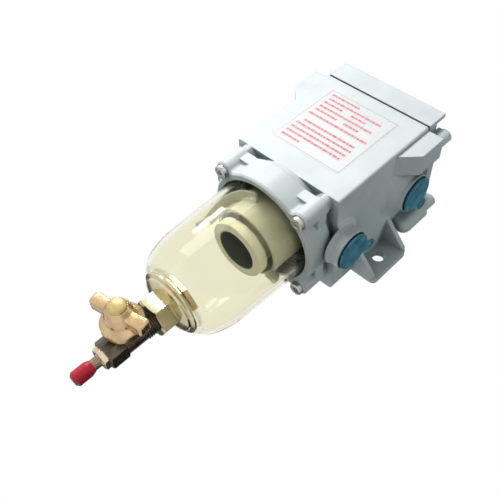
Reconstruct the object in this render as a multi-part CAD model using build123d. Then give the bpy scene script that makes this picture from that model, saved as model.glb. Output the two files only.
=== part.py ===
from build123d import *
from math import asin, cos, degrees, radians, sin
import os

os.makedirs("parts", exist_ok=True)

# Sizes in millimetres. The origin lies on the wall, midway between the two ear holes.
# +Z is up and the wall is on the +Y side. Heights named *_drop are measured down from the body.

# Housing block
body_width = 85.0
axis_to_front = 37.7
axis_to_rear = 50.0
rear_relief = 0.3
ears_to_seam = 48.5
body_height = 90.0
body_corner_radius = 1.5
body_rear_radius = 4.0
chamber_radius = 34.0
chamber_depth = 66.5
partition_thickness = 4.0

# Housing foot that carries the bowl
neck_radius = 39.0
neck_gap = 5.2
foot_hole_depth = 14.0
foot_pad_radius = 5.2

# Mounting ears and their gussets
ear_span = 122.5
ear_height = 38.0
ear_thickness = 5.0
ear_root = 8.0
ear_corner_radius = 4.0
ear_hole_spacing = 100.0
ear_hole_diameter = 9.0
gusset_thickness = 3.5
gusset_depth = 26.0
gusset_edge_inset = 2.0
gusset_nose = 1.2

# Lid lugs and the rim between them
lug_radius = 7.0
lug_reach = 5.8
lug_front_inset = 11.7
lug_rear_inset = 14.3
lug_hole_depth = 14.0
rear_lug_length = 19.0
front_lug_reach = 12.1
front_lug_inset = 2.4
front_lug_depth = 16.3
front_lug_length = 22.2
rim_reach = 8.8
rim_height = 6.1
rim_bevel = 3.0
rim_root_drop = 14.5

# Pockets cored into the rear of the casting
pocket_width = 20.0
pocket_pitch = 26.0
pocket_height = 34.0
pocket_pitch_z = 42.0
pocket_wall = 4.0
pocket_radius = 2.5

# Ports, two on each side
port_face_reach = 10.8
upper_port_drop = 21.0
lower_port_lift = 2.5
port_face_radius = 14.0
port_rim_bevel = 0.3
spotface_radius = 13.2
spotface_depth = 3.0
upper_flare_radius = 31.0
upper_flare_length = 8.0
lower_flare_radius = 18.0
lower_flare_length = 4.5
flare_steps = 3
port_thread_diameter = 16.0
port_socket_depth = 10.0
upper_passage_diameter = 10.0
lower_passage_diameter = 8.0
lower_passage_rise = 3.0
boss_flange_gap = 1.4

# Transport plugs
plug_fit = 0.1
plug_flange_radius = 13.0
plug_flange_thickness = 1.2
plug_flange_lift = 1.2
plug_shoulder_radius = 9.6
plug_shank_length = 9.0
plug_wall = 1.8
plug_bevel = 0.4
pull_reach = 23.0
pull_width = 8.0
pull_thickness = 1.2
pull_hole_radius = 2.0
upper_pull_angle = 30.0
lower_pull_angle = 66.0

# Lid
seal_thickness = 1.6
seal_inset = 0.8
lid_thickness = 9.9
lid_edge_bevel = 1.4
lid_ear_height = 11.9
lid_ear_radius = 4.8
lid_ear_web = 7.2
lid_root_radius = 2.2
lid_lip_height = 17.4
lid_lip_thickness = 3.0
lid_roof = 4.0
spring_boss_radius = 14.0
vent_boss_radius = 9.5
vent_boss_height = 2.0
vent_channel_radius = 1.5

# Screws: the shank lies in its hole with the thread clearance
thread_clearance = 0.05
hole_clearance = 0.3
screw_diameter = 6.0
lid_screw_diameter = 4.0
lid_screw_length = 20.0
lid_screw_head_radius = 3.5
lid_screw_head_height = 4.0
lid_screw_socket = 3.0
lid_screw_sink = 1.0
lid_screw_gap = 0.25
flange_screw_length = 30.0
flange_screw_head_radius = 4.7
flange_screw_head_height = 3.1
flange_screw_socket = 4.0
vent_screw_diameter = 8.0
vent_screw_length = 6.0
vent_across_flats = 13.0
vent_head_height = 5.0
vent_washer_radius = 8.0
vent_washer_thickness = 1.0

# Filter element
cap_radius = 31.0
cap_thickness = 3.0
element_radius = 30.0
element_bore_radius = 17.0
element_height = 52.0
pleats = 30
spring_foot_radius = 22.0
spring_top_radius = 12.0
spring_height = 6.0
spring_sheet = 1.2

# Clamping ring
plate_half_width = 37.7
plate_thickness = 7.8
plate_corner_radius = 4.5
ring_radius = 42.6
ring_height = 18.9
ring_edge_bevel = 1.2
ring_screw_offset = 32.5
ring_boss_radius = 6.5
ring_blend_radius = 3.0
counterbore_depth = 10.0
rim_clearance = 0.4
ring_bore_clearance = 0.9

# Bowl
bowl_rim_radius = 40.0
bowl_rim_thickness = 4.0
bowl_wall = 3.0
bowl_radius_top = 37.2
bowl_radius_waist = 35.6
bowl_waist_drop = 49.0
bowl_shoulder_height = 24.0
bowl_shoulder_radius = 34.9
bowl_turn_height = 8.0
bowl_turn_radius = 30.9
bowl_turn_steps = 5
bowl_floor_radius = 23.5
bowl_depth = 90.0
bowl_floor_hole_clearance = 0.2
bowl_seal_thickness = 2.0
bowl_seal_width = 4.0

# Vane insert
tube_radius = 20.7
tube_bore_radius = 14.3
tube_length = 64.8
tube_neck_radius = 16.6
tube_foot_height = 7.2
stub_wall = 1.1
stub_clearance = 0.1
insert_seal_thickness = 2.0
skirt_radius = 25.4
skirt_wall = 2.1
skirt_length = 35.4
web_lift = 2.0
web_thickness = 3.0
web_holes = 8
web_hole_radius = 3.3
web_clearance = 0.5
web_fit = 0.05
tube_collar_reach = 1.3
tube_collar_height = 1.6
vane_radius = 31.6
vane_root = 1.0
vane_thickness = 2.4
vane_count = 2
vane_start_angle = 265.0
vane_sweep = 77.0
vane_start_drop = 17.7
vane_end_drop = 37.8
vane_curve = 1.7
vane_tip_height = 7.3
vane_tip_width = 4.0

# Drain collar
collar_radius = 22.5
collar_rim_height = 1.6
collar_step_radius = 19.2
collar_step_height = 2.2
collar_waist_radius = 13.4
collar_height = 5.8
collar_across_flats = 24.0
collar_hex_height = 11.0
collar_spigot_diameter = 14.0
spigot_thread_reach = 1.5
drain_seal_inner_radius = 14.5
drain_seal_outer_radius = 19.0
drain_seal_thickness = 1.2
drain_bore_radius = 3.5
locknut_across_flats = 24.0
locknut_height = 4.0

# Drain cock
cock_socket_depth = 6.5
cock_stub_diameter = 14.0
cock_thread_radius = 8.9
cock_thread_length = 7.5
cock_body_radius = 8.3
cock_body_length = 14.5
cock_across_flats = 16.5
cock_hex_height = 12.0
cock_hex_turn = 30.0
ball_drop = 9.3
ball_radius = 6.0
ball_bore_radius = 3.0
ball_clearance = 0.04
seat_clearance = 0.05
cock_wall = 2.1
seat_length = 4.6
bonnet_radius = 6.4
bonnet_length = 13.2
bonnet_neck_radius = 4.9
bonnet_neck_length = 7.8
stem_radius = 2.6
stem_clearance = 0.05
stem_tang = 2.0
stem_tang_depth = 1.8
stem_square = 3.6
stem_thread_radius = 1.6
stem_thread_length = 2.4
packing_radius = 3.9
packing_length = 5.0

# Butterfly handle
handle_turn = 12.0
wing_half_span = 19.0
wing_tip_half_width = 4.3
wing_neck_half_width = 3.9
wing_depth = 7.4
wing_edge_bevel = 0.8
hub_radius = 8.0
hub_waist_radius = 9.5
hub_waist_height = 2.0
hub_top_radius = 6.5
hub_rise = 2.8
skirt_foot_radius = 13.0
skirt_foot_height = 5.5
hub_bore_clearance = 0.3
stop_radius = 1.1
stop_height = 2.4
stop_lift = 1.5
stop_play = 2.0
stop_angle = -22.0
quarter_turn = 90.0
dome_radius = 5.75
dome_height = 3.4
dome_flange = 0.8

# Outlet
outlet_across_flats = 12.8
outlet_hex_height = 3.5
nipple_radius = 3.55
nipple_length = 16.2
nipple_bore_radius = 2.0
cap_fit = 0.05
drain_cap_radius = 4.8
drain_cap_start = 5.0
drain_cap_tip_gap = 0.2
drain_cap_end = 1.8
drain_cap_bevel = 1.6
drain_cap_neck_bevel = 0.9
drain_cap_neck_height = 3.0

# Levels and places that follow from the sizes above
axis_y = -(axis_to_rear + rear_relief)
wall_y = axis_to_rear + rear_relief
half_width = body_width / 2
seam_z = ears_to_seam
body_bottom_z = seam_z - body_height
partition_top_z = seam_z - chamber_depth
partition_bottom_z = partition_top_z - partition_thickness
ring_top_z = body_bottom_z - neck_gap
ring_bottom_z = ring_top_z - ring_height
ledge_z = ring_top_z - counterbore_depth
rim_top_z = ledge_z + bowl_rim_thickness
spigot_bottom_z = rim_top_z + bowl_seal_thickness
bowl_bottom_z = ledge_z - bowl_depth + bowl_rim_thickness
bowl_floor_z = bowl_bottom_z + bowl_wall
bowl_shoulder_drop = bowl_depth - bowl_shoulder_height
bowl_turn_drop = bowl_depth - bowl_turn_height
lid_bottom_z = seam_z + seal_thickness
lid_top_z = lid_bottom_z + lid_thickness
lid_ceiling_z = lid_top_z - lid_roof
lid_ear_top_z = lid_bottom_z + lid_ear_height
lid_screw_seat_z = lid_ear_top_z - lid_screw_sink - lid_screw_head_height
lid_hole_radius = lid_screw_diameter / 2 + hole_clearance
vent_seat_z = lid_top_z + vent_boss_height
lug_x = half_width + lug_reach
lug_front_y = -axis_to_front + lug_front_inset
lug_rear_y = axis_to_rear - lug_rear_inset
lug_points = [(side * lug_x, y) for side in (-1, 1) for y in (lug_front_y, lug_rear_y)]
foot_points = [(sx * ring_screw_offset, sy * ring_screw_offset) for sx in (-1, 1) for sy in (-1, 1)]
port_face_x = half_width + port_face_reach
upper_port_z = seam_z - upper_port_drop
lower_port_z = body_bottom_z + lower_port_lift
port_radius = port_thread_diameter / 2
spotface_x = port_face_x - spotface_depth
plug_flange_x = port_face_x + plug_flange_lift
screw_radius = screw_diameter / 2
thread_hole_radius = screw_radius + thread_clearance
pass_hole_radius = screw_radius + hole_clearance
counterbore_radius = bowl_rim_radius + rim_clearance
ring_bore_radius = bowl_radius_top + ring_bore_clearance
stub_radius = tube_bore_radius + stub_wall
tube_top_z = partition_bottom_z - insert_seal_thickness
cap_seat_z = partition_top_z
element_base_z = cap_seat_z + cap_thickness
element_top_z = element_base_z + element_height
spring_base_z = element_top_z + cap_thickness
collar_bottom_z = bowl_bottom_z - collar_height
hex_bottom_z = collar_bottom_z - collar_hex_height
spigot_radius = collar_spigot_diameter / 2
cock_stub_radius = cock_stub_diameter / 2
cock_body_top_z = hex_bottom_z - cock_thread_length
ball_z = cock_body_top_z - ball_drop
cock_hex_top_z = cock_body_top_z - cock_body_length
cock_bottom_z = cock_hex_top_z - cock_hex_height
cock_chamber_radius = cock_body_radius - cock_wall
seat_span = ball_bore_radius + 0.4 + seat_length
handle_base = bonnet_length + bonnet_neck_length
wing_top = handle_base + wing_depth
handle_top = wing_top + hub_rise
nipple_start_z = cock_bottom_z - outlet_hex_height


# Shared shapes. They stand on the bowl axis, which is moved to its place when a node is saved.
def save(node, shape):
    export_step(Pos(0, axis_y, 0) * shape, "parts/" + node + ".step")


def rod(radius, z0, z1, x=0.0, y=0.0):
    return Pos(x, y, (z0 + z1) / 2) * Cylinder(radius, abs(z1 - z0))


def tube(outer, inner, z0, z1, x=0.0, y=0.0):
    return rod(outer, z0, z1, x, y) - rod(inner, z0, z1, x, y)


def block(x0, x1, y0, y1, z0, z1):
    centre = Pos((x0 + x1) / 2, (y0 + y1) / 2, (z0 + z1) / 2)
    return centre * Box(abs(x1 - x0), abs(y1 - y0), abs(z1 - z0))


def turned(points):
    profile = Polyline(*[(r, 0, z) for r, z in points], close=True)
    return revolve(make_face(profile), axis=Axis.Z)


def hexagon(across_flats, z0, z1, x=0.0, y=0.0, turn=0.0):
    outline = RegularPolygon(across_flats / 2, 6, major_radius=False, rotation=turn)
    return Pos(x, y, min(z0, z1)) * extrude(outline, amount=abs(z1 - z0))


def facing_side(side, z, shape):
    return Pos(0, 0, z) * Rot(0, 90 * side, 0) * shape


def facing_front(shape):
    return Pos(0, 0, ball_z) * Rot(90, 0, 0) * shape


def bent(arc, steps):
    return Polyline(*[arc @ (step / steps) for step in range(steps + 1)])


# Housing: one casting with port bosses, ears, gussets and lid lugs
def body_block():
    body = block(-half_width, half_width, -axis_to_front, axis_to_rear, body_bottom_z, seam_z)
    upright = body.edges().filter_by(Axis.Z)
    body = fillet(upright.filter_by(lambda e: e.center().Y > 0), body_rear_radius)
    upright = body.edges().filter_by(Axis.Z)
    return fillet(upright.filter_by(lambda e: e.center().Y < 0), body_corner_radius)


def ear(side):
    tip = ear_span / 2
    root = half_width - ear_root
    low = -ear_height / 2
    plate = block(side * root, side * tip, wall_y - ear_thickness, wall_y, low, -low)
    corners = plate.edges().filter_by(Axis.Y)
    plate = fillet(corners.filter_by(lambda e: abs(e.center().X) > half_width), ear_corner_radius)
    inner_x = half_width - gusset_thickness
    tip_x = tip - gusset_edge_inset
    plate_y = wall_y - ear_thickness
    shape = [(inner_x, plate_y), (tip_x, plate_y), (tip_x, plate_y - gusset_nose)]
    shape += [(half_width, wall_y - gusset_depth), (inner_x, wall_y - gusset_depth)]
    face = make_face(Polyline(*[(side * x, y) for x, y in shape], close=True))
    web = extrude(face, amount=gusset_thickness, dir=(0, 0, 1))
    return plate + Pos(0, 0, low) * web + Pos(0, 0, -low - gusset_thickness) * web


def front_lug(side):
    inner = half_width - lug_radius
    outer = half_width + front_lug_reach
    corner_z = seam_z - front_lug_length
    root_z = corner_z - front_lug_reach
    face_y = -axis_to_front + front_lug_inset
    shape = [(inner, seam_z), (outer, seam_z), (outer, corner_z), (half_width, root_z), (inner, root_z)]
    face = make_face(Polyline(*[(side * x, face_y, z) for x, z in shape], close=True))
    return extrude(face, amount=front_lug_depth, dir=(0, 1, 0))


def rear_lug(side):
    x, y = side * lug_x, lug_rear_y
    inner = side * (half_width - lug_radius)
    knee = seam_z - rear_lug_length
    post = rod(lug_radius, knee, seam_z, x, y) + block(inner, x, y - lug_radius, y + lug_radius, knee, seam_z)
    foot = Pos((inner + x) / 2, y, knee) * Rot(0, 90, 0) * Cylinder(lug_radius, abs(x - inner))
    return post + foot + Pos(x, y, knee) * Sphere(lug_radius)


def rim(side):
    inner = half_width - rim_bevel
    outer = half_width + rim_reach
    under = seam_z - rim_height - rim_bevel
    shape = [(inner, seam_z), (outer, seam_z), (outer, seam_z - rim_height), (outer - rim_bevel, under)]
    shape += [(half_width + rim_bevel, under - 1.0), (half_width, seam_z - rim_root_drop)]
    shape += [(inner, seam_z - rim_root_drop)]
    face = make_face(Polyline(*[(side * x, lug_front_y, z) for x, z in shape], close=True))
    return extrude(face, amount=lug_rear_y - lug_front_y, dir=(0, 1, 0))


def port_boss(flare_radius, flare_length):
    root = half_width - port_rim_bevel
    land = half_width + flare_length
    mid_r = port_face_radius + 0.3 * (flare_radius - port_face_radius)
    mid_x = half_width + 0.3 * flare_length
    arc = ThreePointArc((flare_radius, 0, half_width), (mid_r, 0, mid_x), (port_face_radius, 0, land))
    flare = bent(arc, flare_steps)
    rim_edge = (port_face_radius - port_rim_bevel, 0, port_face_x)
    outside = Polyline((port_face_radius, 0, land), (port_face_radius, 0, port_face_x - port_rim_bevel), rim_edge)
    inside = Polyline(rim_edge, (0, 0, port_face_x), (0, 0, root), (flare_radius, 0, root))
    close = Line((flare_radius, 0, root), (flare_radius, 0, half_width))
    return revolve(make_face([flare.edges(), outside.edges(), inside.edges(), close]), axis=Axis.Z)


def port_bosses():
    above = block(-port_face_x, port_face_x, -axis_to_front, axis_to_rear, seam_z, seam_z + body_height)
    clear = ring_radius + boss_flange_gap
    below = block(-clear, clear, -axis_to_front, axis_to_rear, body_bottom_z - body_height, body_bottom_z)
    upper = port_boss(upper_flare_radius, upper_flare_length)
    lower = port_boss(lower_flare_radius, lower_flare_length)
    bosses = Part()
    for side in (-1, 1):
        bosses += facing_side(side, upper_port_z, upper) - above
        bosses += facing_side(side, lower_port_z, lower) - below
    return bosses


def port_bores():
    socket = rod(port_radius, port_face_x - port_socket_depth, port_face_x)
    socket += rod(spotface_radius, spotface_x, port_face_x)
    reach = chamber_radius - lower_passage_diameter
    bores = Part()
    for side in (-1, 1):
        bores += facing_side(side, upper_port_z, socket)
        bores += facing_side(side, lower_port_z, socket)
        upper = rod(upper_passage_diameter / 2, reach, port_face_x - port_socket_depth)
        lower = rod(lower_passage_diameter / 2, reach, port_face_x - port_socket_depth)
        bores += facing_side(side, upper_port_z, upper)
        bores += facing_side(side, lower_port_z + lower_passage_rise, lower)
    return bores


def foot():
    neck = rod(neck_radius, spigot_bottom_z, body_bottom_z)
    for x, y in foot_points:
        turn = 45 if x * y > 0 else -45
        arm = Box(foot_pad_radius * 3, foot_pad_radius * 2, neck_gap)
        neck += Pos(x * 0.88, y * 0.88, ring_top_z + neck_gap / 2) * Rot(0, 0, turn) * arm
        neck += rod(foot_pad_radius, ring_top_z, body_bottom_z, x, y)
    return neck


def rear_pockets():
    depth = axis_to_rear - chamber_radius - pocket_wall
    middle = (seam_z + body_bottom_z) / 2
    pockets = Part()
    for column in (-1, 0, 1):
        for row in (-0.5, 0.5):
            shape = Box(pocket_width, depth, pocket_height)
            shape = fillet(shape.edges().filter_by(Axis.Y), pocket_radius)
            place = Pos(column * pocket_pitch, axis_to_rear - depth / 2, middle + row * pocket_pitch_z)
            pockets += place * shape
    return pockets


def housing():
    shape = body_block() + foot() + port_bosses()
    for side in (-1, 1):
        shape += ear(side)
        shape += rim(side)
        shape += front_lug(side)
        shape += rear_lug(side)
    shape -= rod(chamber_radius, partition_top_z, seam_z)
    shape -= rod(chamber_radius, spigot_bottom_z, partition_bottom_z)
    shape -= rod(stub_radius + stub_clearance, partition_bottom_z, partition_top_z)
    shape -= port_bores()
    shape -= rear_pockets()
    for x, y in lug_points:
        shape -= rod(lid_screw_diameter / 2 + thread_clearance, seam_z - lug_hole_depth, seam_z, x, y)
    for x, y in foot_points:
        shape -= rod(thread_hole_radius, ring_top_z, ring_top_z + foot_hole_depth, x, y)
    for side in (-1, 1):
        hole = Rot(90, 0, 0) * Cylinder(ear_hole_diameter / 2, 3 * ear_thickness)
        shape -= Pos(side * ear_hole_spacing / 2, wall_y, 0) * hole
    return shape


# Lid and its seal share one outline: the body's rectangle with an ear over each lug
def lid_outline():
    depth = axis_to_front + axis_to_rear
    outline = Pos(0, (axis_to_rear - axis_to_front) / 2) * Rectangle(body_width, depth)
    for x, y in lug_points:
        outline += Pos(x / 2, y) * Rectangle(abs(x), lid_ear_web)
        outline += Pos(x, y) * Circle(lid_ear_radius)
    inside = lambda v: lug_front_y < v.Y < lug_rear_y and abs(abs(v.X) - half_width) < 0.01
    return fillet(outline.vertices().filter_by(inside), lid_root_radius)


def lid():
    plate = block(-half_width, half_width, -axis_to_front, axis_to_rear, lid_bottom_z, lid_top_z)
    plate = fillet(plate.edges().filter_by(Axis.Z), body_corner_radius)
    plate = chamfer(plate.faces().sort_by(Axis.Z)[-1].edges(), lid_edge_bevel)
    ears = Pos(0, 0, lid_bottom_z) * extrude(lid_outline(), amount=lid_ear_height)
    inside = block(-half_width, half_width, -axis_to_front, axis_to_rear, lid_bottom_z, lid_ear_top_z)
    shape = plate + (ears - inside)
    for x, y in lug_points:
        shape += rod(lid_ear_radius, lid_bottom_z, lid_ear_top_z, x, y)
    lip_top = lid_bottom_z + lid_lip_height
    shape += block(-half_width, half_width, -axis_to_front, -axis_to_front + lid_lip_thickness, lid_bottom_z, lip_top)
    shape += rod(vent_boss_radius, lid_ceiling_z, vent_seat_z)
    shape -= rod(chamber_radius, lid_bottom_z, lid_ceiling_z)
    shape += rod(spring_boss_radius, spring_base_z + spring_height, lid_ceiling_z)
    shape -= rod(vent_screw_diameter / 2 + thread_clearance, vent_seat_z - vent_screw_length, vent_seat_z)
    shape -= rod(vent_channel_radius, spring_base_z, vent_seat_z)
    for x, y in lug_points:
        shape -= rod(lid_hole_radius, lid_bottom_z, lid_ear_top_z, x, y)
        shape -= rod(lid_screw_head_radius + lid_screw_gap, lid_screw_seat_z, lid_ear_top_z, x, y)
    return shape


def lid_seal():
    shape = Pos(0, 0, seam_z) * extrude(offset(lid_outline(), amount=-seal_inset), amount=seal_thickness)
    shape -= rod(chamber_radius, seam_z, lid_bottom_z)
    for x, y in lug_points:
        shape -= rod(lid_hole_radius, seam_z, lid_bottom_z, x, y)
    return shape


def lid_screws():
    head_top = lid_ear_top_z - lid_screw_sink
    screws = []
    for x, y in lug_points:
        head = rod(lid_screw_head_radius, lid_screw_seat_z, head_top, x, y)
        head -= hexagon(lid_screw_socket, head_top - lid_screw_head_height / 2, head_top, x, y)
        low = lid_screw_seat_z - lid_screw_length
        screws.append(head + rod(lid_screw_diameter / 2, low, lid_screw_seat_z, x, y))
    return Compound(screws)


def vent_screw():
    seat = vent_seat_z + vent_washer_thickness
    shank = rod(vent_screw_diameter / 2, vent_seat_z - vent_screw_length + 1.0, seat)
    return shank + hexagon(vent_across_flats, seat, seat + vent_head_height)


def vent_washer():
    bore = vent_screw_diameter / 2 + hole_clearance
    return tube(vent_washer_radius, bore, vent_seat_z, vent_seat_z + vent_washer_thickness)


# Filter element between the partition and the lid
def filter_element():
    points = []
    for step in range(2 * pleats):
        angle = radians(180 * step / pleats)
        r = element_radius if step % 2 == 0 else element_radius - 4.0
        points.append((r * cos(angle), r * sin(angle)))
    star = make_face(Polyline(*points, close=True)) - Circle(element_bore_radius)
    return Pos(0, 0, element_base_z) * extrude(star, amount=element_height, dir=(0, 0, 1))


def filter_cap_bottom():
    return tube(cap_radius, stub_radius + stub_clearance, cap_seat_z, element_base_z)


def filter_cap_top():
    return rod(cap_radius, element_top_z, spring_base_z)


def filter_spring():
    top = spring_base_z + spring_height
    foot_in = spring_foot_radius - spring_sheet
    top_out = spring_top_radius + spring_sheet
    shape = [(foot_in, spring_base_z), (spring_foot_radius, spring_base_z)]
    shape += [(top_out, top), (spring_top_radius, top)]
    return turned(shape)


# Clamping ring for the bowl and its screws
def flange_ring():
    outline = Sketch() + Circle(ring_radius)
    for x, y in foot_points:
        outline += Pos(x, y) * Circle(ring_boss_radius)
    outline = fillet(outline.vertices(), ring_blend_radius)
    shape = Pos(0, 0, ring_bottom_z) * extrude(outline, amount=ring_height)
    shape = chamfer(shape.faces().sort_by(Axis.Z)[0].edges(), ring_edge_bevel)
    plate = Box(2 * plate_half_width, 2 * plate_half_width, plate_thickness)
    plate = fillet(plate.edges().filter_by(Axis.Z), plate_corner_radius)
    shape += Pos(0, 0, ring_top_z - plate_thickness / 2) * plate
    shape -= rod(counterbore_radius, ledge_z, ring_top_z)
    shape -= rod(ring_bore_radius, ring_bottom_z, ledge_z)
    for x, y in foot_points:
        shape -= rod(pass_hole_radius, ring_bottom_z, ring_top_z, x, y)
    return shape


def flange_screws():
    low = ring_bottom_z - flange_screw_head_height
    screws = []
    for x, y in foot_points:
        head = rod(flange_screw_head_radius, low, ring_bottom_z, x, y)
        head -= hexagon(flange_screw_socket, low, low + flange_screw_head_height * 0.6, x, y)
        screws.append(head + rod(screw_radius, ring_bottom_z, ring_bottom_z + flange_screw_length, x, y))
    return Compound(screws)


# Clear bowl, moulded with a rim above and a flat floor with a hole for the drain
def bowl_side(inset):
    drops = [bowl_waist_drop, bowl_shoulder_drop, bowl_turn_drop]
    radii = [bowl_radius_waist, bowl_shoulder_radius, bowl_turn_radius]
    waist, shoulder, turn = [(r - inset, 0, rim_top_z - d) for r, d in zip(radii, drops)]
    end = (bowl_floor_radius - inset, 0, bowl_bottom_z + inset)
    side = Line((bowl_radius_top - inset, 0, ledge_z), waist)
    return side, Line(waist, shoulder), bent(ThreePointArc(shoulder, turn, end), bowl_turn_steps), end


def bowl():
    side, shoulder, curve, end = bowl_side(0)
    top = (bowl_radius_top, 0, ledge_z)
    axis_top = (0, 0, rim_top_z)
    rim_outer = (bowl_rim_radius, 0, ledge_z)
    crown = Polyline(axis_top, (bowl_rim_radius, 0, rim_top_z), rim_outer, top)
    floor = Polyline(end, (0, 0, bowl_bottom_z), axis_top)
    solid = revolve(make_face([crown.edges(), side, shoulder, curve.edges(), floor.edges()]), axis=Axis.Z)
    side, shoulder, curve, end = bowl_side(bowl_wall)
    lip = Polyline((0, 0, ledge_z), (bowl_radius_top - bowl_wall, 0, ledge_z))
    floor = Polyline(end, (0, 0, bowl_floor_z), (0, 0, ledge_z))
    solid -= revolve(make_face([lip, side, shoulder, curve.edges(), floor.edges()]), axis=Axis.Z)
    solid -= rod(bowl_radius_top - bowl_wall, ledge_z, rim_top_z)
    return solid - rod(spigot_radius + bowl_floor_hole_clearance, bowl_bottom_z, bowl_floor_z)


def bowl_seal():
    outer = neck_radius
    return tube(outer, outer - bowl_seal_width, rim_top_z, spigot_bottom_z)


# Vane insert: a rising tube, and a skirt with web and helical vanes that sits on the tube's collar
def vane(start_angle):
    steps = 7
    root = skirt_radius - vane_root
    sections = []
    for step in range(steps + 1):
        part = step / steps
        z = ring_top_z - vane_start_drop - (vane_end_drop - vane_start_drop) * part ** vane_curve
        top = z + vane_thickness
        corners = Polyline((root, 0, z), (vane_radius, 0, z), (vane_radius, 0, top), (root, 0, top), close=True)
        sections.append(Rot(0, 0, start_angle - part * vane_sweep) * make_face(corners))
    blade = loft(sections, ruled=True)
    tip_top = ring_top_z - vane_end_drop + vane_thickness
    tip_low = tip_top - vane_thickness - vane_tip_height
    half = vane_tip_width / 2
    tip = block(vane_radius - vane_tip_width, vane_radius, -half, half, tip_low, tip_top)
    return blade + Rot(0, 0, start_angle - vane_sweep) * tip


def rising_tube():
    collar_top = ring_top_z + web_lift - web_thickness
    collar_low = collar_top - tube_collar_height
    end_z = tube_top_z - tube_length
    shape = rod(tube_radius, collar_low, tube_top_z)
    shape += rod(stub_radius, tube_top_z, element_base_z)
    shape += rod(tube_radius + tube_collar_reach, collar_low, collar_top)
    shape += rod(tube_neck_radius, end_z, collar_low)
    shape += rod(tube_radius, end_z, end_z + tube_foot_height)
    return shape - rod(tube_bore_radius, end_z, element_base_z)


def vane_skirt():
    web_top = ring_top_z + web_lift
    web_low = web_top - web_thickness
    shape = tube(skirt_radius, skirt_radius - skirt_wall, web_top - skirt_length, web_top)
    shape += tube(chamber_radius - web_clearance, tube_radius + web_fit, web_low, web_top)
    hole_circle = (skirt_radius + chamber_radius) / 2
    for count in range(web_holes):
        angle = radians(360 * count / web_holes)
        shape -= rod(web_hole_radius, web_low, web_top, hole_circle * cos(angle), hole_circle * sin(angle))
    for count in range(vane_count):
        shape += vane(vane_start_angle + 360 * count / vane_count)
    return shape


def insert_seal():
    return tube(tube_radius, stub_radius + stub_clearance, tube_top_z, partition_bottom_z)


# Transport plugs: hollow shank, flange and pull loop
def plug(side, port_z, pull_angle):
    shank_radius = port_radius - plug_fit
    top = plug_flange_x + plug_flange_thickness
    shape = rod(plug_flange_radius, plug_flange_x, top)
    shape = chamfer(shape.faces().sort_by(Axis.Z)[-1].edges(), plug_bevel)
    start = port_face_x - plug_shank_length
    shape += rod(plug_shoulder_radius, spotface_x, plug_flange_x)
    shape += rod(shank_radius, start, spotface_x)
    shape -= rod(shank_radius - plug_wall, start, plug_flange_x)
    centre = pull_reach - pull_width / 2
    half = pull_width / 2
    pull_top = plug_flange_x + pull_thickness
    pull = block(plug_flange_radius / 2, centre, -half, half, plug_flange_x, pull_top)
    pull += rod(half, plug_flange_x, pull_top, centre)
    pull -= rod(pull_hole_radius, plug_flange_x, pull_top, centre)
    return facing_side(side, port_z, shape + Rot(0, 0, 90 + side * pull_angle) * pull)


# Drain collar: flange, hexagon and threaded spigot through the bowl floor
def drain_collar():
    rim_z = bowl_bottom_z - collar_rim_height
    step_z = rim_z - collar_step_height
    spigot_top = bowl_floor_z + locknut_height + spigot_thread_reach
    shape = [(0, spigot_top), (spigot_radius, spigot_top), (spigot_radius, bowl_bottom_z)]
    shape += [(collar_radius, bowl_bottom_z), (collar_radius, rim_z), (collar_step_radius, step_z)]
    shape += [(collar_waist_radius, collar_bottom_z), (0, collar_bottom_z)]
    solid = turned(shape) + hexagon(collar_across_flats, hex_bottom_z, collar_bottom_z)
    groove_z = bowl_bottom_z - drain_seal_thickness
    solid -= tube(drain_seal_outer_radius, drain_seal_inner_radius, groove_z, bowl_bottom_z)
    solid -= rod(cock_stub_radius + thread_clearance, hex_bottom_z, hex_bottom_z + cock_socket_depth)
    return solid - rod(drain_bore_radius, hex_bottom_z, spigot_top)


def drain_seal():
    groove_z = bowl_bottom_z - drain_seal_thickness
    return tube(drain_seal_outer_radius, drain_seal_inner_radius, groove_z, bowl_bottom_z)


def drain_locknut():
    nut = hexagon(locknut_across_flats, bowl_floor_z, bowl_floor_z + locknut_height)
    return nut - rod(spigot_radius + thread_clearance, bowl_floor_z, bowl_floor_z + locknut_height)


# Drain cock: body with its bonnet towards the front, ball between two seats
def valve_body():
    stub_top = hex_bottom_z + cock_socket_depth
    shape = rod(cock_stub_radius, hex_bottom_z, stub_top)
    shape += rod(cock_thread_radius, cock_body_top_z, hex_bottom_z)
    shape += rod(cock_body_radius, cock_hex_top_z, cock_body_top_z)
    shape += hexagon(cock_across_flats, cock_bottom_z, cock_hex_top_z, turn=cock_hex_turn)
    shape += facing_front(rod(bonnet_radius, 0, bonnet_length))
    shape += facing_front(rod(bonnet_neck_radius, bonnet_length, handle_base))
    stop = Rot(0, 90, 0) * rod(stop_radius, bonnet_neck_radius - 1.0, bonnet_neck_radius + stop_height)
    shape += facing_front(Rot(0, 0, stop_angle) * Pos(0, 0, bonnet_length + stop_lift) * stop)
    shape -= rod(drain_bore_radius, ball_z + seat_span, stub_top)
    shape -= rod(cock_chamber_radius, cock_bottom_z, ball_z + seat_span)
    shape -= facing_front(rod(stem_radius + stem_clearance, 0, handle_base))
    return shape - facing_front(rod(packing_radius, handle_base - packing_length, handle_base))


def ball_seats():
    ball = Sphere(ball_radius + ball_clearance)
    gap = seat_span - seat_length
    ring = tube(cock_chamber_radius - seat_clearance, drain_bore_radius, gap, seat_span) - ball
    return Compound([Pos(0, 0, ball_z) * ring, Pos(0, 0, ball_z) * Rot(180, 0, 0) * ring])


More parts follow.
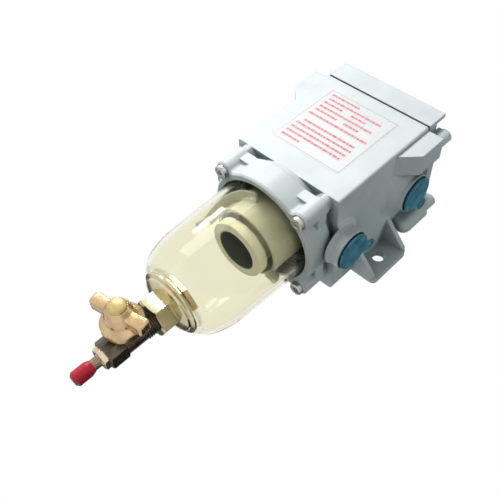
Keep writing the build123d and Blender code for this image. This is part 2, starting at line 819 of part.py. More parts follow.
def valve_ball():
    slot_width = stem_tang + 2 * stem_clearance
    slot = block(-ball_radius, ball_radius, -slot_width / 2, slot_width / 2, ball_radius - stem_tang_depth, ball_radius)
    shape = Sphere(ball_radius) - Rot(0, 90, 0) * rod(ball_bore_radius, -ball_radius, ball_radius) - slot
    return facing_front(Rot(0, 0, handle_turn) * shape)


def valve_stem():
    tang_low = ball_radius - stem_tang_depth + stem_clearance
    half = stem_radius - 3 * stem_clearance
    shape = block(-half, half, -stem_tang / 2, stem_tang / 2, tang_low, ball_radius + ball_clearance)
    shape += rod(stem_radius, ball_radius + ball_clearance, handle_base)
    side = stem_square / 2
    shape += block(-side, side, -side, side, handle_base, handle_top)
    shape += rod(stem_thread_radius, handle_top, handle_top + stem_thread_length)
    return facing_front(Rot(0, 0, handle_turn) * shape)


def stem_packing():
    bore = stem_radius + stem_clearance
    return facing_front(tube(packing_radius, bore, handle_base - packing_length, handle_base))


def sector(radius, start, end, z0, z1):
    steps = 6
    angles = [radians(start + (end - start) * step / steps) for step in range(steps + 1)]
    points = [(0, 0, z0)] + [(radius * cos(a), radius * sin(a), z0) for a in angles]
    return extrude(make_face(Polyline(*points, close=True)), amount=z1 - z0, dir=(0, 0, 1))


def valve_handle():
    neck = bonnet_neck_radius + hub_bore_clearance
    low = bonnet_length + hub_bore_clearance
    outline = Sketch() + Circle(wing_neck_half_width)
    for side in (-1, 1):
        wing = [(0, wing_neck_half_width), (wing_half_span / 2, wing_neck_half_width)]
        wing += [(wing_half_span, wing_tip_half_width), (wing_half_span, -wing_tip_half_width)]
        wing += [(wing_half_span / 2, -wing_neck_half_width), (0, -wing_neck_half_width)]
        blade = make_face(Polyline(*[(side * x, y) for x, y in wing], close=True))
        tips = blade.vertices().filter_by(lambda v: abs(v.X) > wing_half_span - 0.1)
        outline += fillet(tips, wing_tip_half_width / 2)
    wings = Pos(0, 0, handle_base) * extrude(outline, amount=wing_depth, dir=(0, 0, 1))
    wings = chamfer(wings.faces().sort_by(Axis.Z)[-1].edges(), wing_edge_bevel)
    foot_top = low + skirt_foot_height
    waist_z = handle_base + hub_waist_height
    hub = [(0, low), (skirt_foot_radius, low), (skirt_foot_radius, foot_top), (hub_waist_radius, handle_base)]
    hub += [(hub_waist_radius, waist_z), (hub_radius, wing_top), (hub_top_radius, handle_top), (0, handle_top)]
    shape = Rot(0, 0, handle_turn) * wings + turned(hub)
    shape -= rod(neck, low, handle_base + hub_bore_clearance)
    side = stem_square / 2 + stem_clearance
    shape -= Rot(0, 0, handle_turn) * block(-side, side, -side, side, handle_base, handle_top)
    half = degrees(asin(stop_radius / neck)) + stop_play
    first = stop_angle - (quarter_turn - handle_turn) - half
    last = stop_angle + handle_turn + half
    ceiling = bonnet_length + stop_lift + stop_radius + hub_bore_clearance
    reach = bonnet_neck_radius + stop_height + hub_bore_clearance
    return facing_front(shape - sector(reach, first, last, low, ceiling))


def handle_nut():
    top = handle_top + dome_flange + dome_height
    dome_sphere = (dome_radius ** 2 + dome_height ** 2) / (2 * dome_height)
    solid = Pos(0, 0, top - dome_sphere) * Sphere(dome_sphere) & rod(dome_radius, handle_top, top)
    hole = rod(stem_thread_radius + thread_clearance, handle_top, handle_top + stem_thread_length + hole_clearance)
    return facing_front(solid - hole)


# Outlet nipple, screwed in below the ball, and its pull-off cap
def drain_nipple():
    seat_z = ball_z - seat_span
    end_z = nipple_start_z - nipple_length
    shape = rod(cock_chamber_radius - seat_clearance, cock_bottom_z, seat_z)
    shape += hexagon(outlet_across_flats, nipple_start_z, cock_bottom_z, turn=cock_hex_turn)
    shape += rod(nipple_radius, end_z, nipple_start_z)
    return shape - rod(nipple_bore_radius, end_z, seat_z)


def drain_cap():
    top = nipple_start_z - drain_cap_start
    nipple_end_z = nipple_start_z - nipple_length
    low = nipple_end_z - drain_cap_tip_gap - drain_cap_end
    foot_r, neck_r = drain_cap_radius - drain_cap_bevel, drain_cap_radius - drain_cap_neck_bevel
    outline = [(0, low), (foot_r, low), (drain_cap_radius, low + drain_cap_bevel)]
    outline += [(drain_cap_radius, top - drain_cap_neck_height), (neck_r, top), (0, top)]
    shape = turned(outline)
    return shape - rod(nipple_radius + cap_fit, low + drain_cap_end, top)


save("housing", housing())
save("lid", lid())
save("lid_seal", lid_seal())
save("lid_screws", lid_screws())
save("vent_screw", vent_screw())
save("vent_washer", vent_washer())
save("filter_element", filter_element())
save("filter_cap_bottom", filter_cap_bottom())
save("filter_cap_top", filter_cap_top())
save("filter_spring", filter_spring())
save("flange_ring", flange_ring())
save("flange_screws", flange_screws())
save("bowl", bowl())
save("bowl_seal", bowl_seal())
save("rising_tube", rising_tube())
save("vane_skirt", vane_skirt())
save("insert_seal", insert_seal())
save("plug_right_upper", plug(1, upper_port_z, upper_pull_angle))
save("plug_right_lower", plug(1, lower_port_z, lower_pull_angle))
save("plug_left_upper", plug(-1, upper_port_z, upper_pull_angle))
save("plug_left_lower", plug(-1, lower_port_z, lower_pull_angle))
save("drain_collar", drain_collar())
save("drain_seal", drain_seal())
save("drain_locknut", drain_locknut())
save("valve_body", valve_body())
save("ball_seats", ball_seats())
save("valve_ball", valve_ball())
save("valve_stem", valve_stem())
save("stem_packing", stem_packing())
save("valve_handle", valve_handle())
save("handle_nut", handle_nut())
save("drain_nipple", drain_nipple())
save("drain_cap", drain_cap())
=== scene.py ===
import bmesh
import bpy
import numpy as np
from mathutils import Matrix, Vector


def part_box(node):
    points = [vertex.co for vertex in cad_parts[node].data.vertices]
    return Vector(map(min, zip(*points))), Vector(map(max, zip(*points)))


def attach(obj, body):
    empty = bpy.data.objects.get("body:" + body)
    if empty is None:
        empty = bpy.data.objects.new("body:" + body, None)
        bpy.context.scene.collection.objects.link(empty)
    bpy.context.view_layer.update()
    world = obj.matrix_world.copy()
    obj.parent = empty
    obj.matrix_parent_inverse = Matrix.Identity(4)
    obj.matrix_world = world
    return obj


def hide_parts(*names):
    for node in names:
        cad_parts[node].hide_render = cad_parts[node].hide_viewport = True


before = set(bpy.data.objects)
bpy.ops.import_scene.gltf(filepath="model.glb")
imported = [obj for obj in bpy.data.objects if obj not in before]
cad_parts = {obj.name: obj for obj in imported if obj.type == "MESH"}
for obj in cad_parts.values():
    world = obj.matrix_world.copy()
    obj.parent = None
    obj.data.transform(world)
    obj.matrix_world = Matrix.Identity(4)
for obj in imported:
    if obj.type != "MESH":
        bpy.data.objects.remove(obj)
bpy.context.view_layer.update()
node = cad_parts

# Housing, lid and clamping ring.
# Sand castings in aluminium, machined where they meet and sprayed pale grey after assembly.
# Their shapes are the CAD solids; only the paint is made here, with painted shade darkening its corners.
# Lengths of finishes are in metres.
PAINT = (0.745, 0.805, 0.815)
PAINT_SHADE = (0.665, 0.722, 0.728)
CORNER_SHADE = (0.34, 0.41, 0.38)
CORNER_REACH = 0.03
CAST_EDGE, CAST_GRAIN = 0.0011, 0.00005
FINE_GRAIN, GRAIN_SCALE = 0.00002, 1100
WHITE = (1, 1, 1)


def material(name, colour, roughness, metallic=0.0, **sockets):
    """A Principled material with its constant sockets set, with its node tree and its shader. The name of
    a further socket is written with underscores."""
    made = bpy.data.materials.new(name)
    made.use_nodes = True
    shader = made.node_tree.nodes["Principled BSDF"]
    shader.inputs["Base Color"].default_value = (*colour, 1)
    shader.inputs["Roughness"].default_value = roughness
    shader.inputs["Metallic"].default_value = metallic
    for socket, value in sockets.items():
        shader.inputs[socket.replace("_", " ")].default_value = value
    return made, made.node_tree, shader


def noise(tree, scale, detail):
    """Noise over Object coordinates, with scale in cycles per metre and detail in octaves."""
    place = tree.nodes.new("ShaderNodeTexCoord")
    pattern = tree.nodes.new("ShaderNodeTexNoise")
    pattern.inputs["Scale"].default_value = scale
    pattern.inputs["Detail"].default_value = detail
    tree.links.new(place.outputs["Object"], pattern.inputs["Vector"])
    return pattern.outputs["Fac"]


def ramp(tree, source, stops):
    """Colour that runs straight from the first to the second of two stops = (place, (r, g, b)) as source
    goes from one place to the other."""
    made = tree.nodes.new("ShaderNodeValToRGB")
    for element, (place, colour) in zip(made.color_ramp.elements, stops):
        element.position = place
        element.color = (*colour, 1)
    tree.links.new(source, made.inputs["Fac"])
    return made.outputs["Color"]


def grey(value):
    """Colour with the same red, green and blue."""
    return (value, value, value)


def uneven_roughness(tree, shader, scale, low, high):
    """Roughness that goes from low to high as a noise goes from 0.3 to 0.7."""
    spread = ramp(tree, noise(tree, scale, detail=4), [(0.3, grey(low)), (0.7, grey(high))])
    tree.links.new(spread, shader.inputs["Roughness"])


def relief(tree, shader, source, depth, rounding):
    """Bump of source, depth metres deep, on normals that the Bevel node rounds by rounding metres."""
    bump = tree.nodes.new("ShaderNodeBump")
    bump.inputs["Strength"].default_value = 1.0
    bump.inputs["Distance"].default_value = depth
    tree.links.new(source, bump.inputs["Height"])
    if rounding:
        bevel = tree.nodes.new("ShaderNodeBevel")
        bevel.samples = 6
        bevel.inputs["Radius"].default_value = rounding
        tree.links.new(bevel.outputs["Normal"], bump.inputs["Normal"])
    tree.links.new(bump.outputs["Normal"], shader.inputs["Normal"])


def times(tree, first, second):
    """Product of two colours. The Mix node gives its sockets the same names for numbers, vectors and
    colours, so those for colours are taken by their places."""
    colour_a, colour_b, colour_result = 6, 7, 2
    mix = tree.nodes.new("ShaderNodeMix")
    mix.data_type, mix.blend_type = "RGBA", "MULTIPLY"
    mix.inputs["Factor"].default_value = 1.0
    tree.links.new(first, mix.inputs[colour_a])
    tree.links.new(second, mix.inputs[colour_b])
    return mix.outputs[colour_result]


def mottled(name, colours, spots, roughness, metallic=0.0, depth=FINE_GRAIN, rounding=0.0, shade=None,
            **sockets):
    """A finish that goes from the second to the first of its colours as a noise of spots cycles per metre
    goes from 0.32 to 0.66. Roughness wanders between 0.85 and 1.2 times its value, on spots a quarter as
    wide, over a fine grain depth metres deep. shade, if given, makes a colour that multiplies the finish."""
    made, tree, shader = material(name, colours[0], roughness, metallic, **sockets)
    tint = ramp(tree, noise(tree, spots, detail=4), [(0.32, colours[1]), (0.66, colours[0])])
    if shade:
        tint = times(tree, tint, shade(tree))
    tree.links.new(tint, shader.inputs["Base Color"])
    uneven_roughness(tree, shader, 4 * spots, 0.85 * roughness, 1.2 * roughness)
    relief(tree, shader, noise(tree, GRAIN_SCALE, detail=3), depth, rounding)
    return made


def dress(name, finish):
    """Gives a CAD node its finish."""
    node[name].data.materials.clear()
    node[name].data.materials.append(finish)


def painted_corner_shade(tree, reach, dark):
    """Painted shade: colour that darkens to dark in corners less than reach metres wide, where shade falls, and
    stays white elsewhere.
    """
    corner = tree.nodes.new("ShaderNodeAmbientOcclusion")
    corner.samples = 8
    corner.inputs["Distance"].default_value = reach
    return ramp(tree, corner.outputs["AO"], [(0.25, dark), (0.8, WHITE)])


# The paint is darkened in its corners and hollows by painted shade.
paint = mottled("sprayed pale grey paint", (PAINT, PAINT_SHADE), spots=45, roughness=0.42, depth=CAST_GRAIN,
                rounding=CAST_EDGE, shade=lambda tree: painted_corner_shade(tree, CORNER_REACH, CORNER_SHADE),
                Coat_Weight=0.15, Coat_Roughness=0.2)
for name in ("housing", "lid", "flange_ring"):
    dress(name, paint)

# Gaskets and rings.
# Black nitrile rubber, cut from sheet in the lid seam and moulded at the bowl and the insert. The drain's
# ring is tan fibre.
rubber = mottled("black nitrile rubber", ((0.018, 0.018, 0.019), grey(0.03)), spots=300, roughness=0.6)
fibre = mottled("tan fibre", ((0.5, 0.42, 0.24), (0.42, 0.34, 0.18)), spots=300, roughness=0.5)
for name in ("lid_seal", "bowl_seal", "insert_seal"):
    dress(name, rubber)
dress("drain_seal", fibre)

# Filter element, inside the housing, with its spring.
# Pleated paper glued between two black plastic end caps; the spring is a pressed steel cone.
PLATED_GRAIN, MACHINED_EDGE = 0.000004, 0.0003
paper = mottled("resin-bonded filter paper", ((0.78, 0.7, 0.46), (0.66, 0.58, 0.36)), spots=800,
                roughness=0.9)
end_cap = mottled("black end-cap plastic", ((0.03, 0.03, 0.032), grey(0.05)), spots=400, roughness=0.5)
zinc = mottled("bright zinc plate", ((0.66, 0.66, 0.65), (0.42, 0.42, 0.43)), spots=420, roughness=0.28,
               metallic=1.0, depth=PLATED_GRAIN, rounding=MACHINED_EDGE)
dress("filter_element", paper)
dress("filter_cap_bottom", end_cap)
dress("filter_cap_top", end_cap)
dress("filter_spring", zinc)

# Rising tube and vane skirt.
# Two olive-beige mouldings seen through the bowl: a tube that carries the clean fuel up, and on its
# collar a skirt with a web and two helical vanes that spin the fuel as it enters. In millimetres.
MM = 0.001
PARTITION = -24.0
TUBE_BORE, TUBE_NECK, TUBE_SIDE, TUBE_COLLAR, TUBE_LEDGE = 14.3, 15.4, 16.6, 20.7, 22
FOOT_COLLAR, LEDGE_BELOW = 7.2, 4.6
WEB, WEB_HOLE, WEB_RADIUS = 3, 20.75, 33.5
SKIRT_INSIDE, SKIRT_OUTSIDE, SKIRT_BELOW = 23.3, 25.4, 35.4
SKIRT_BRIGHT, SKIRT_DARK = -64, -52
VANE_START, VANE_SWEEP = np.radians(265), np.radians(71)
VANE_TOP, VANE_FALL, FALL_POWER = -67.2, 20.5, 1.7
VANE_ROOT, VANE_TIP, VANE_THICK = 24.2, 31.9, 2.4
POST_ROOT, POST_HALF, POST_BELOW, POST_EDGE, POST_DRAWN_IN = 28.2, 2, 7.3, 0.4, 0.92
RING, CAPPED = True, False


def heights(name):
    """Lowest and highest Z of a node's box, in millimetres."""
    low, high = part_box(name)
    return low.z / MM, high.z / MM


BOWL_LOW, BOWL_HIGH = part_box("bowl")
AXIS_Y = (BOWL_LOW.y + BOWL_HIGH.y) / 2
TUBE_FOOT, TUBE_HEAD = heights("rising_tube")
WEB_TOP = heights("vane_skirt")[1]
WEB_LOW = WEB_TOP - WEB


def rounded(corners, closed=False, steps=7):
    """Profile in metres from (r, z, radius) corners in millimetres. Each corner becomes an arc of its radius
    that touches both of its sides: its centre lies on the bisector, radius / sin(half the angle) away. An
    open profile keeps its two ends."""
    corner = np.asarray(corners, float)
    point, radius = corner[:, :2], np.maximum(corner[:, 2:3], 1e-4)
    before, after = np.roll(point, 1, 0) - point, np.roll(point, -1, 0) - point
    before /= np.linalg.norm(before, axis=1, keepdims=True) + 1e-12
    after /= np.linalg.norm(after, axis=1, keepdims=True) + 1e-12
    half = 0.5 * np.arccos(np.clip((before * after).sum(1, keepdims=True), -0.9999, 0.9999))
    middle = before + after
    middle /= np.linalg.norm(middle, axis=1, keepdims=True) + 1e-12
    centre = point + middle * radius / np.sin(half)
    first = point + before * radius / np.tan(half) - centre
    last = point + after * radius / np.tan(half) - centre
    sweep = np.pi - 2 * half + 1e-9
    t = np.linspace(0, 1, steps)[None, :, None]
    first, last, sweep = first[:, None], last[:, None], sweep[:, None]
    arc = (np.sin((1 - t) * sweep) * first + np.sin(t * sweep) * last) / np.sin(sweep)
    arc = arc + centre[:, None]
    if not closed:
        arc = np.concatenate([point[:1], arc[1:-1].reshape(-1, 2), point[-1:]])
    return arc.reshape(-1, 2) * MM


def full_turn(segments):
    """Angles of the segments of one turn."""
    return np.linspace(0, 2 * np.pi, segments, endpoint=False)


def turn(profile, segments=96):
    """Profile (r, z) carried round the Z axis: x = r cos a, y = r sin a."""
    angle = full_turn(segments)
    r, z = profile[:, :1], profile[:, 1:]
    return np.stack([r * np.cos(angle), r * np.sin(angle), z + 0 * angle], -1)


def spun(grid, angle):
    """Grid turned by angle about its Z axis."""
    x, y = grid[..., 0], grid[..., 1]
    cosine, sine = np.cos(angle), np.sin(angle)
    return np.stack([x * cosine - y * sine, x * sine + y * cosine, grid[..., 2]], -1)


def on_axis(grid):
    """Moves what was made about Z onto the bowl's axis."""
    return grid + np.array([0, AXIS_Y, 0])


def make(name, sheets, finish, body, stands_for=(), sharp=38.0):
    """One mesh from sheets = (grid, RING or CAPPED), where each point (row, column) of a grid joins its
    neighbours in four-sided faces. Columns close on themselves; rows do so in a RING, and end in points in
    a CAPPED sheet. Points that meet are merged, and the faces of each closed shell are turned outwards."""
    points, quads, start = [], [], 0
    for grid, closed in sheets:
        rows, columns = grid.shape[:2]
        r = np.arange(rows if closed else rows - 1)[:, None]
        c = np.arange(columns)[None, :]
        r1, c1 = (r + 1) % rows, (c + 1) % columns
        corner = [r * columns + c, r * columns + c1, r1 * columns + c1, r1 * columns + c]
        quads.append(np.stack(corner, -1).reshape(-1, 4) + start)
        points.append(grid.reshape(-1, 3))
        start += rows * columns
    mesh = bpy.data.meshes.new(name)
    mesh.from_pydata(np.concatenate(points).tolist(), [], np.concatenate(quads).tolist())
    shell = bmesh.new()
    shell.from_mesh(mesh)
    bmesh.ops.remove_doubles(shell, verts=shell.verts, dist=2e-6)
    bmesh.ops.recalc_face_normals(shell, faces=shell.faces)
    shell.to_mesh(mesh)
    shell.free()
    mesh.shade_smooth()
    mesh.set_sharp_from_angle(angle=np.radians(sharp))
    mesh.materials.append(finish)
    piece = bpy.data.objects.new(name, mesh)
    bpy.context.scene.collection.objects.link(piece)
    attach(piece, body)
    if stands_for:
        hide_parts(*stands_for)
    return piece


def closed_ends(grid):
    """Adds a row at each end with all its points in that end's middle, which closes the ends."""
    first = np.broadcast_to(grid[:1].mean(1, keepdims=True), grid[:1].shape)
    last = np.broadcast_to(grid[-1:].mean(1, keepdims=True), grid[-1:].shape)
    return np.concatenate([first, grid, last])


def vane(first_angle):
    """Blade and end post of a vane. The blade is a rounded rectangle in (r, z), carried down a path whose
    fall grows as a power of the turn. The post is an upright block whose two ends are drawn in."""
    section = rounded([(VANE_ROOT, 0, 0.3), (VANE_TIP, 0, 0.8), (VANE_TIP, VANE_THICK, 0.8),
                       (VANE_ROOT, VANE_THICK, 0.3)], True, 4)
    t = np.linspace(0, 1, 41)[:, None]
    angle = first_angle - t * VANE_SWEEP
    r, z = section[None, :, 0], section[None, :, 1] + (VANE_TOP - VANE_FALL * t ** FALL_POWER) * MM
    blade = np.stack([r * np.cos(angle), r * np.sin(angle), z], -1)
    outline = rounded([(POST_ROOT, -POST_HALF, 0.5), (VANE_TIP, -POST_HALF, 0.8), (VANE_TIP, POST_HALF, 0.8),
                       (POST_ROOT, POST_HALF, 0.5)], True, 4)
    middle = np.array([(POST_ROOT + VANE_TIP) / 2 * MM, 0])
    width = np.array([POST_DRAWN_IN, 1, 1, POST_DRAWN_IN])[:, None, None]
    plan = middle + (outline - middle)[None] * width
    steps = np.array([VANE_THICK, VANE_THICK - POST_EDGE, POST_EDGE - POST_BELOW, -POST_BELOW])
    level = (VANE_TOP - VANE_FALL + steps) * MM
    x, y = plan[..., 0], plan[..., 1]
    post = spun(np.stack([x, y, level[:, None] + 0 * x], -1), first_angle - VANE_SWEEP)
    return [(on_axis(closed_ends(blade)), CAPPED), (on_axis(closed_ends(post)), CAPPED)]


def place_of(tree, axis):
    """The Z height, or with axis "R" the distance from the bowl's axis, in metres."""
    place = tree.nodes.new("ShaderNodeTexCoord")
    split = tree.nodes.new("ShaderNodeSeparateXYZ")
    tree.links.new(place.outputs["Object"], split.inputs["Vector"])
    if axis == "Z":
        return split.outputs["Z"]
    shift = tree.nodes.new("ShaderNodeMath")
    shift.operation = "SUBTRACT"
    shift.inputs[1].default_value = AXIS_Y
    tree.links.new(split.outputs["Y"], shift.inputs[0])
    join = tree.nodes.new("ShaderNodeCombineXYZ")
    tree.links.new(split.outputs["X"], join.inputs["X"])
    tree.links.new(shift.outputs["Value"], join.inputs["Y"])
    length = tree.nodes.new("ShaderNodeVectorMath")
    length.operation = "LENGTH"
    tree.links.new(join.outputs["Vector"], length.inputs[0])
    return length.outputs["Value"]


def fade(tree, axis, start, end, first, last):
    """Colour that is first up to start along the axis, and goes straight to last at end, in millimetres."""
    span = tree.nodes.new("ShaderNodeMapRange")
    span.inputs["From Min"].default_value = start * MM
    span.inputs["From Max"].default_value = end * MM
    tree.links.new(place_of(tree, axis), span.inputs["Value"])
    return ramp(tree, span.outputs["Result"], [(0.0, first), (1.0, last)])


# Painted light: the tube's nylon is a lighter copy of the skirt's, in place of light on its downward faces, and
# its bore darkens to painted shade.
BORE_SHADE, SKIRT_SHADE = (0.06, 0.08, 0.07), (0.1, 0.08, 0.05)
tube_olive = mottled("olive nylon with painted light and painted bore shade", ((0.68, 0.67, 0.55), (0.58, 0.57, 0.46)), spots=90,
                     roughness=0.42,
                     shade=lambda tree: fade(tree, "R", TUBE_BORE + 0.1, TUBE_BORE + 0.6, BORE_SHADE, WHITE))
# Painted shade: the skirt's colour darkens towards its top, under the clamping ring.
olive = mottled("olive-beige nylon", ((0.51, 0.51, 0.41), (0.43, 0.425, 0.335)), spots=90, roughness=0.4,
                shade=lambda tree: fade(tree, "Z", SKIRT_BRIGHT, SKIRT_DARK, WHITE, SKIRT_SHADE))
tube = [(TUBE_BORE, TUBE_FOOT, 0.5), (TUBE_BORE, TUBE_HEAD, 0.3), (TUBE_NECK, TUBE_HEAD, 0.3)]
tube += [(TUBE_NECK, PARTITION, 0.2), (TUBE_COLLAR, PARTITION, 0.4), (TUBE_COLLAR, WEB_LOW, 0.2)]
tube += [(TUBE_LEDGE, WEB_LOW, 0.3), (TUBE_LEDGE, WEB_TOP - LEDGE_BELOW, 0.5)]
tube += [(TUBE_SIDE, WEB_TOP - LEDGE_BELOW, 0.6), (TUBE_SIDE, TUBE_FOOT + FOOT_COLLAR, 0.8)]
tube += [(TUBE_COLLAR, TUBE_FOOT + FOOT_COLLAR, 0.6), (TUBE_COLLAR, TUBE_FOOT, 0.7)]
shells = [(on_axis(turn(rounded(tube, True, 5), segments=128)), RING)]
make("rising_tube_moulding", shells, tube_olive, "separator", ["rising_tube"])
skirt = [(WEB_HOLE, WEB_TOP, 0.4), (WEB_RADIUS, WEB_TOP, 0.4), (WEB_RADIUS, WEB_LOW, 0.4)]
skirt += [(SKIRT_OUTSIDE, WEB_LOW, 1.2), (SKIRT_OUTSIDE, WEB_TOP - SKIRT_BELOW, 0.5)]
skirt += [(SKIRT_INSIDE, WEB_TOP - SKIRT_BELOW, 0.5), (SKIRT_INSIDE, WEB_LOW, 0.4), (WEB_HOLE, WEB_LOW, 0.2)]
first_vane, second_blade = vane(VANE_START), vane(VANE_START + np.pi)[:1]
shells = [(on_axis(turn(rounded(skirt, True, 5), segments=128)), RING)] + first_vane + second_blade
make("vane_skirt_moulding", shells, olive, "separator", ["vane_skirt"])

# Bowl.
# Injection moulded in clear straw-tinted plastic, 3 mm thick, with a rim that the ring clamps.
WALL = 3.0
FLOOR, RIM = heights("bowl")
LEDGE = RIM - 4
RIM_INSIDE, RIM_OUTSIDE, RIM_EDGE, NECK_EDGE = 34.2, 40, 0.3, 0.4
NECK, WAIST, SHOULDER, KNEE, FOOT = 37.2, 35.6, 34.9, 30.9, 23.5
WAIST_BELOW, SHOULDER_BELOW, KNEE_BELOW = 49, 66, 82
FLOOR_FLAT, DRAIN_HOLE = 16.5, 7.2
straw, tree, shader = material("clear straw plastic", (0.908, 0.895, 0.765), 0.03)
shader.inputs["Transmission Weight"].default_value = 1.0
shader.inputs["IOR"].default_value = 1.22


def bowl_wall(inset):
    """Side of the bowl from under its rim to its floor: two cones, then the chord from shoulder to foot with
    4 t (1 - t) of the knee's distance from the chord's middle added, so that it passes through the knee."""
    end = np.array([FOOT - inset, FLOOR + inset])
    start = np.array([SHOULDER - inset, RIM - SHOULDER_BELOW])
    knee = np.array([KNEE - inset, RIM - KNEE_BELOW])
    t = np.linspace(0, 1, 28)[:, None]
    chord, bulge = start + t * (end - start), knee - (start + end) / 2
    bend = chord + bulge * 4 * t * (1 - t)
    cone = np.array([[NECK - inset, LEDGE - 1], [WAIST - inset, RIM - WAIST_BELOW]])
    return np.concatenate([cone, bend])


# The inside leaves its curve six points before the end and runs on to the flat of the floor.
LEFT_OUT = 6
flat = [[FLOOR_FLAT, FLOOR + WALL], [DRAIN_HOLE, FLOOR + WALL]]
inside = np.concatenate([bowl_wall(WALL)[:-LEFT_OUT], flat])[::-1]
rim = [[RIM_INSIDE, LEDGE], [RIM_INSIDE, RIM - RIM_EDGE], [RIM_INSIDE + RIM_EDGE, RIM]]
rim += [[RIM_OUTSIDE - RIM_EDGE, RIM], [RIM_OUTSIDE, RIM - RIM_EDGE], [RIM_OUTSIDE, LEDGE + RIM_EDGE]]
rim += [[RIM_OUTSIDE - RIM_EDGE, LEDGE], [NECK + NECK_EDGE, LEDGE], [NECK, LEDGE - NECK_EDGE]]
outside = np.concatenate([bowl_wall(0.0), [[DRAIN_HOLE, FLOOR]]])
profile = np.concatenate([inside, np.array(rim), outside]) * MM
shells = [(on_axis(turn(profile, segments=160)), RING)]
make("clear_bowl", shells, straw, "separator", ["bowl"], sharp=50)


# Screws with a hexagon socket.
# Zinc-plated steel: four hold the clamping ring from below, four hold the lid and stand in its ears.
def hexagon_radius(angle, across_flats):
    """Distance from the middle to the side of a regular hexagon whose corners stand at 0, 60, ... degrees:
    half its width over the cosine of the angle from the nearest flat's middle."""
    return across_flats / 2 / np.cos(angle % (np.pi / 3) - np.pi / 6)


def around(rows, segments=72):
    """Closed lathe grid in metres from rows (radius, z) in millimetres; either may be one value for each
    of the segments, which is how a hexagon is turned."""
    angle = full_turn(segments)
    r = np.stack([np.broadcast_to(np.asarray(row[0], float), angle.shape) for row in rows])
    z = np.stack([np.broadcast_to(np.asarray(row[1], float), angle.shape) for row in rows])
    return np.stack([r * np.cos(angle), r * np.sin(angle), z], -1) * MM


def socket_screw(x, y, seat, facing, head, height, shank, length, across_flats):
    """Cylinder-head screw at x, y: the head rises from its seat in the direction facing, the shank the
    other way. head and shank are radii; all in millimetres."""
    socket = hexagon_radius(full_turn(72), across_flats)
    rows = [(0, -length), (shank - 0.6, -length), (shank, 0.6 - length), (shank, 0), (head - 0.2, 0)]
    rows += [(head, 0.2), (head, height - 0.7), (head - 0.2, height - 0.2), (head - 0.6, height)]
    rows += [(socket * 1.1, height), (socket, height - 0.2), (socket, 0.4 * height), (0, 0.4 * height - 0.3)]
    grid = around([(r, seat + facing * z) for r, z in rows]) + np.array([x, y, 0]) * MM
    return (grid, CAPPED)


def corners_of(name, radius):
    """Middles of the four round heads that stand at the corners of a node's box, in millimetres."""
    low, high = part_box(name)
    across, deep = [(low[i] / MM + radius, high[i] / MM - radius) for i in (0, 1)]
    return [(x, y) for x in across for y in deep]


RING_HEAD, RING_HEAD_HEIGHT = 4.7, 3.1
seat = heights("flange_screws")[0] + RING_HEAD_HEIGHT
shells = [socket_screw(x, y, seat, facing=-1, head=RING_HEAD, height=RING_HEAD_HEIGHT, shank=3.0, length=30,
                       across_flats=4.0) for x, y in corners_of("flange_screws", RING_HEAD)]
make("ring_socket_screws", shells, zinc, "separator", ["flange_screws"])
LID_HEAD, LID_HEAD_HEIGHT = 3.5, 4.0
seat = heights("lid_screws")[1] - LID_HEAD_HEIGHT
shells = [socket_screw(x, y, seat, facing=1, head=LID_HEAD, height=LID_HEAD_HEIGHT, shank=2.0, length=20,
                       across_flats=3.0) for x, y in corners_of("lid_screws", LID_HEAD)]
make("lid_socket_screws", shells, zinc, "separator", ["lid_screws"])

# Vent screw in the middle of the lid.
# Zinc-plated hexagon head on a ring of annealed copper that seals it.
VENT_LOW, VENT_TOP = heights("vent_screw")
VENT_SEAT, VENT_FLATS, VENT_FACE, VENT_SHANK = VENT_TOP - 5, 13.0, 6.4, 4
COPPER_INSIDE, COPPER_OUTSIDE, COPPER_THICK = 4.3, 8, 1


def chamfer(side, start, slope):
    """How far the end of a hexagon is cut back: slope times what its side stands out past a radius."""
    return np.clip(side - start, 0, None) * slope


side = hexagon_radius(full_turn(72), VENT_FLATS)
rows = [(0, VENT_LOW), (VENT_SHANK - 0.6, VENT_LOW), (VENT_SHANK, VENT_LOW + 0.6), (VENT_SHANK, VENT_SEAT)]
rows += [(side - 0.3, VENT_SEAT), (side, VENT_SEAT + 0.3), (side, VENT_TOP - chamfer(side, 6.6, 0.58))]
rows += [(np.minimum(side, VENT_FACE), VENT_TOP), (0, VENT_TOP)]
shells = [(on_axis(around(rows)), CAPPED)]
make("vent_hexagon_screw", shells, zinc, "separator", ["vent_screw"])
copper = mottled("annealed copper", ((0.75, 0.4, 0.24), (0.6, 0.28, 0.16)), spots=500, roughness=0.38,
                 metallic=1.0)
ring = [(COPPER_INSIDE, VENT_SEAT - COPPER_THICK, 0.2), (COPPER_OUTSIDE, VENT_SEAT - COPPER_THICK, 0.3)]
ring += [(COPPER_OUTSIDE, VENT_SEAT, 0.3), (COPPER_INSIDE, VENT_SEAT, 0.2)]
shells = [(on_axis(turn(rounded(ring, True, 4), segments=72)), RING)]
make("vent_copper_ring", shells, copper, "separator", ["vent_washer"])

# Transport plugs, one pushed into each port.
# Blue polyethylene, each one moulding: hollow shank, shoulder, thin flange and a loop to pull it out by.
SHANK_INSIDE, SHANK_OUTSIDE, SHANK_LENGTH, SHOULDER_RADIUS = 6.1, 7.9, 6, 9.6
FLANGE_RADIUS, FLANGE_THICK, DISH_RADIUS, DISH_DEPTH = 13, 1.2, 11.2, 0.25
LOOP_MIDDLE, LOOP_OUTSIDE, LOOP_INSIDE, LOOP_STEM = 19, 4, 2, 9
LOOP_BACK, LOOP_FRONT, LOOP_EDGE = 1.15, 0.05, 0.25
plug_blue = mottled("blue polyethylene", ((0.15, 0.4, 0.55), (0.05, 0.22, 0.34)), spots=130, roughness=0.5,
                    Specular_IOR_Level=0.12)


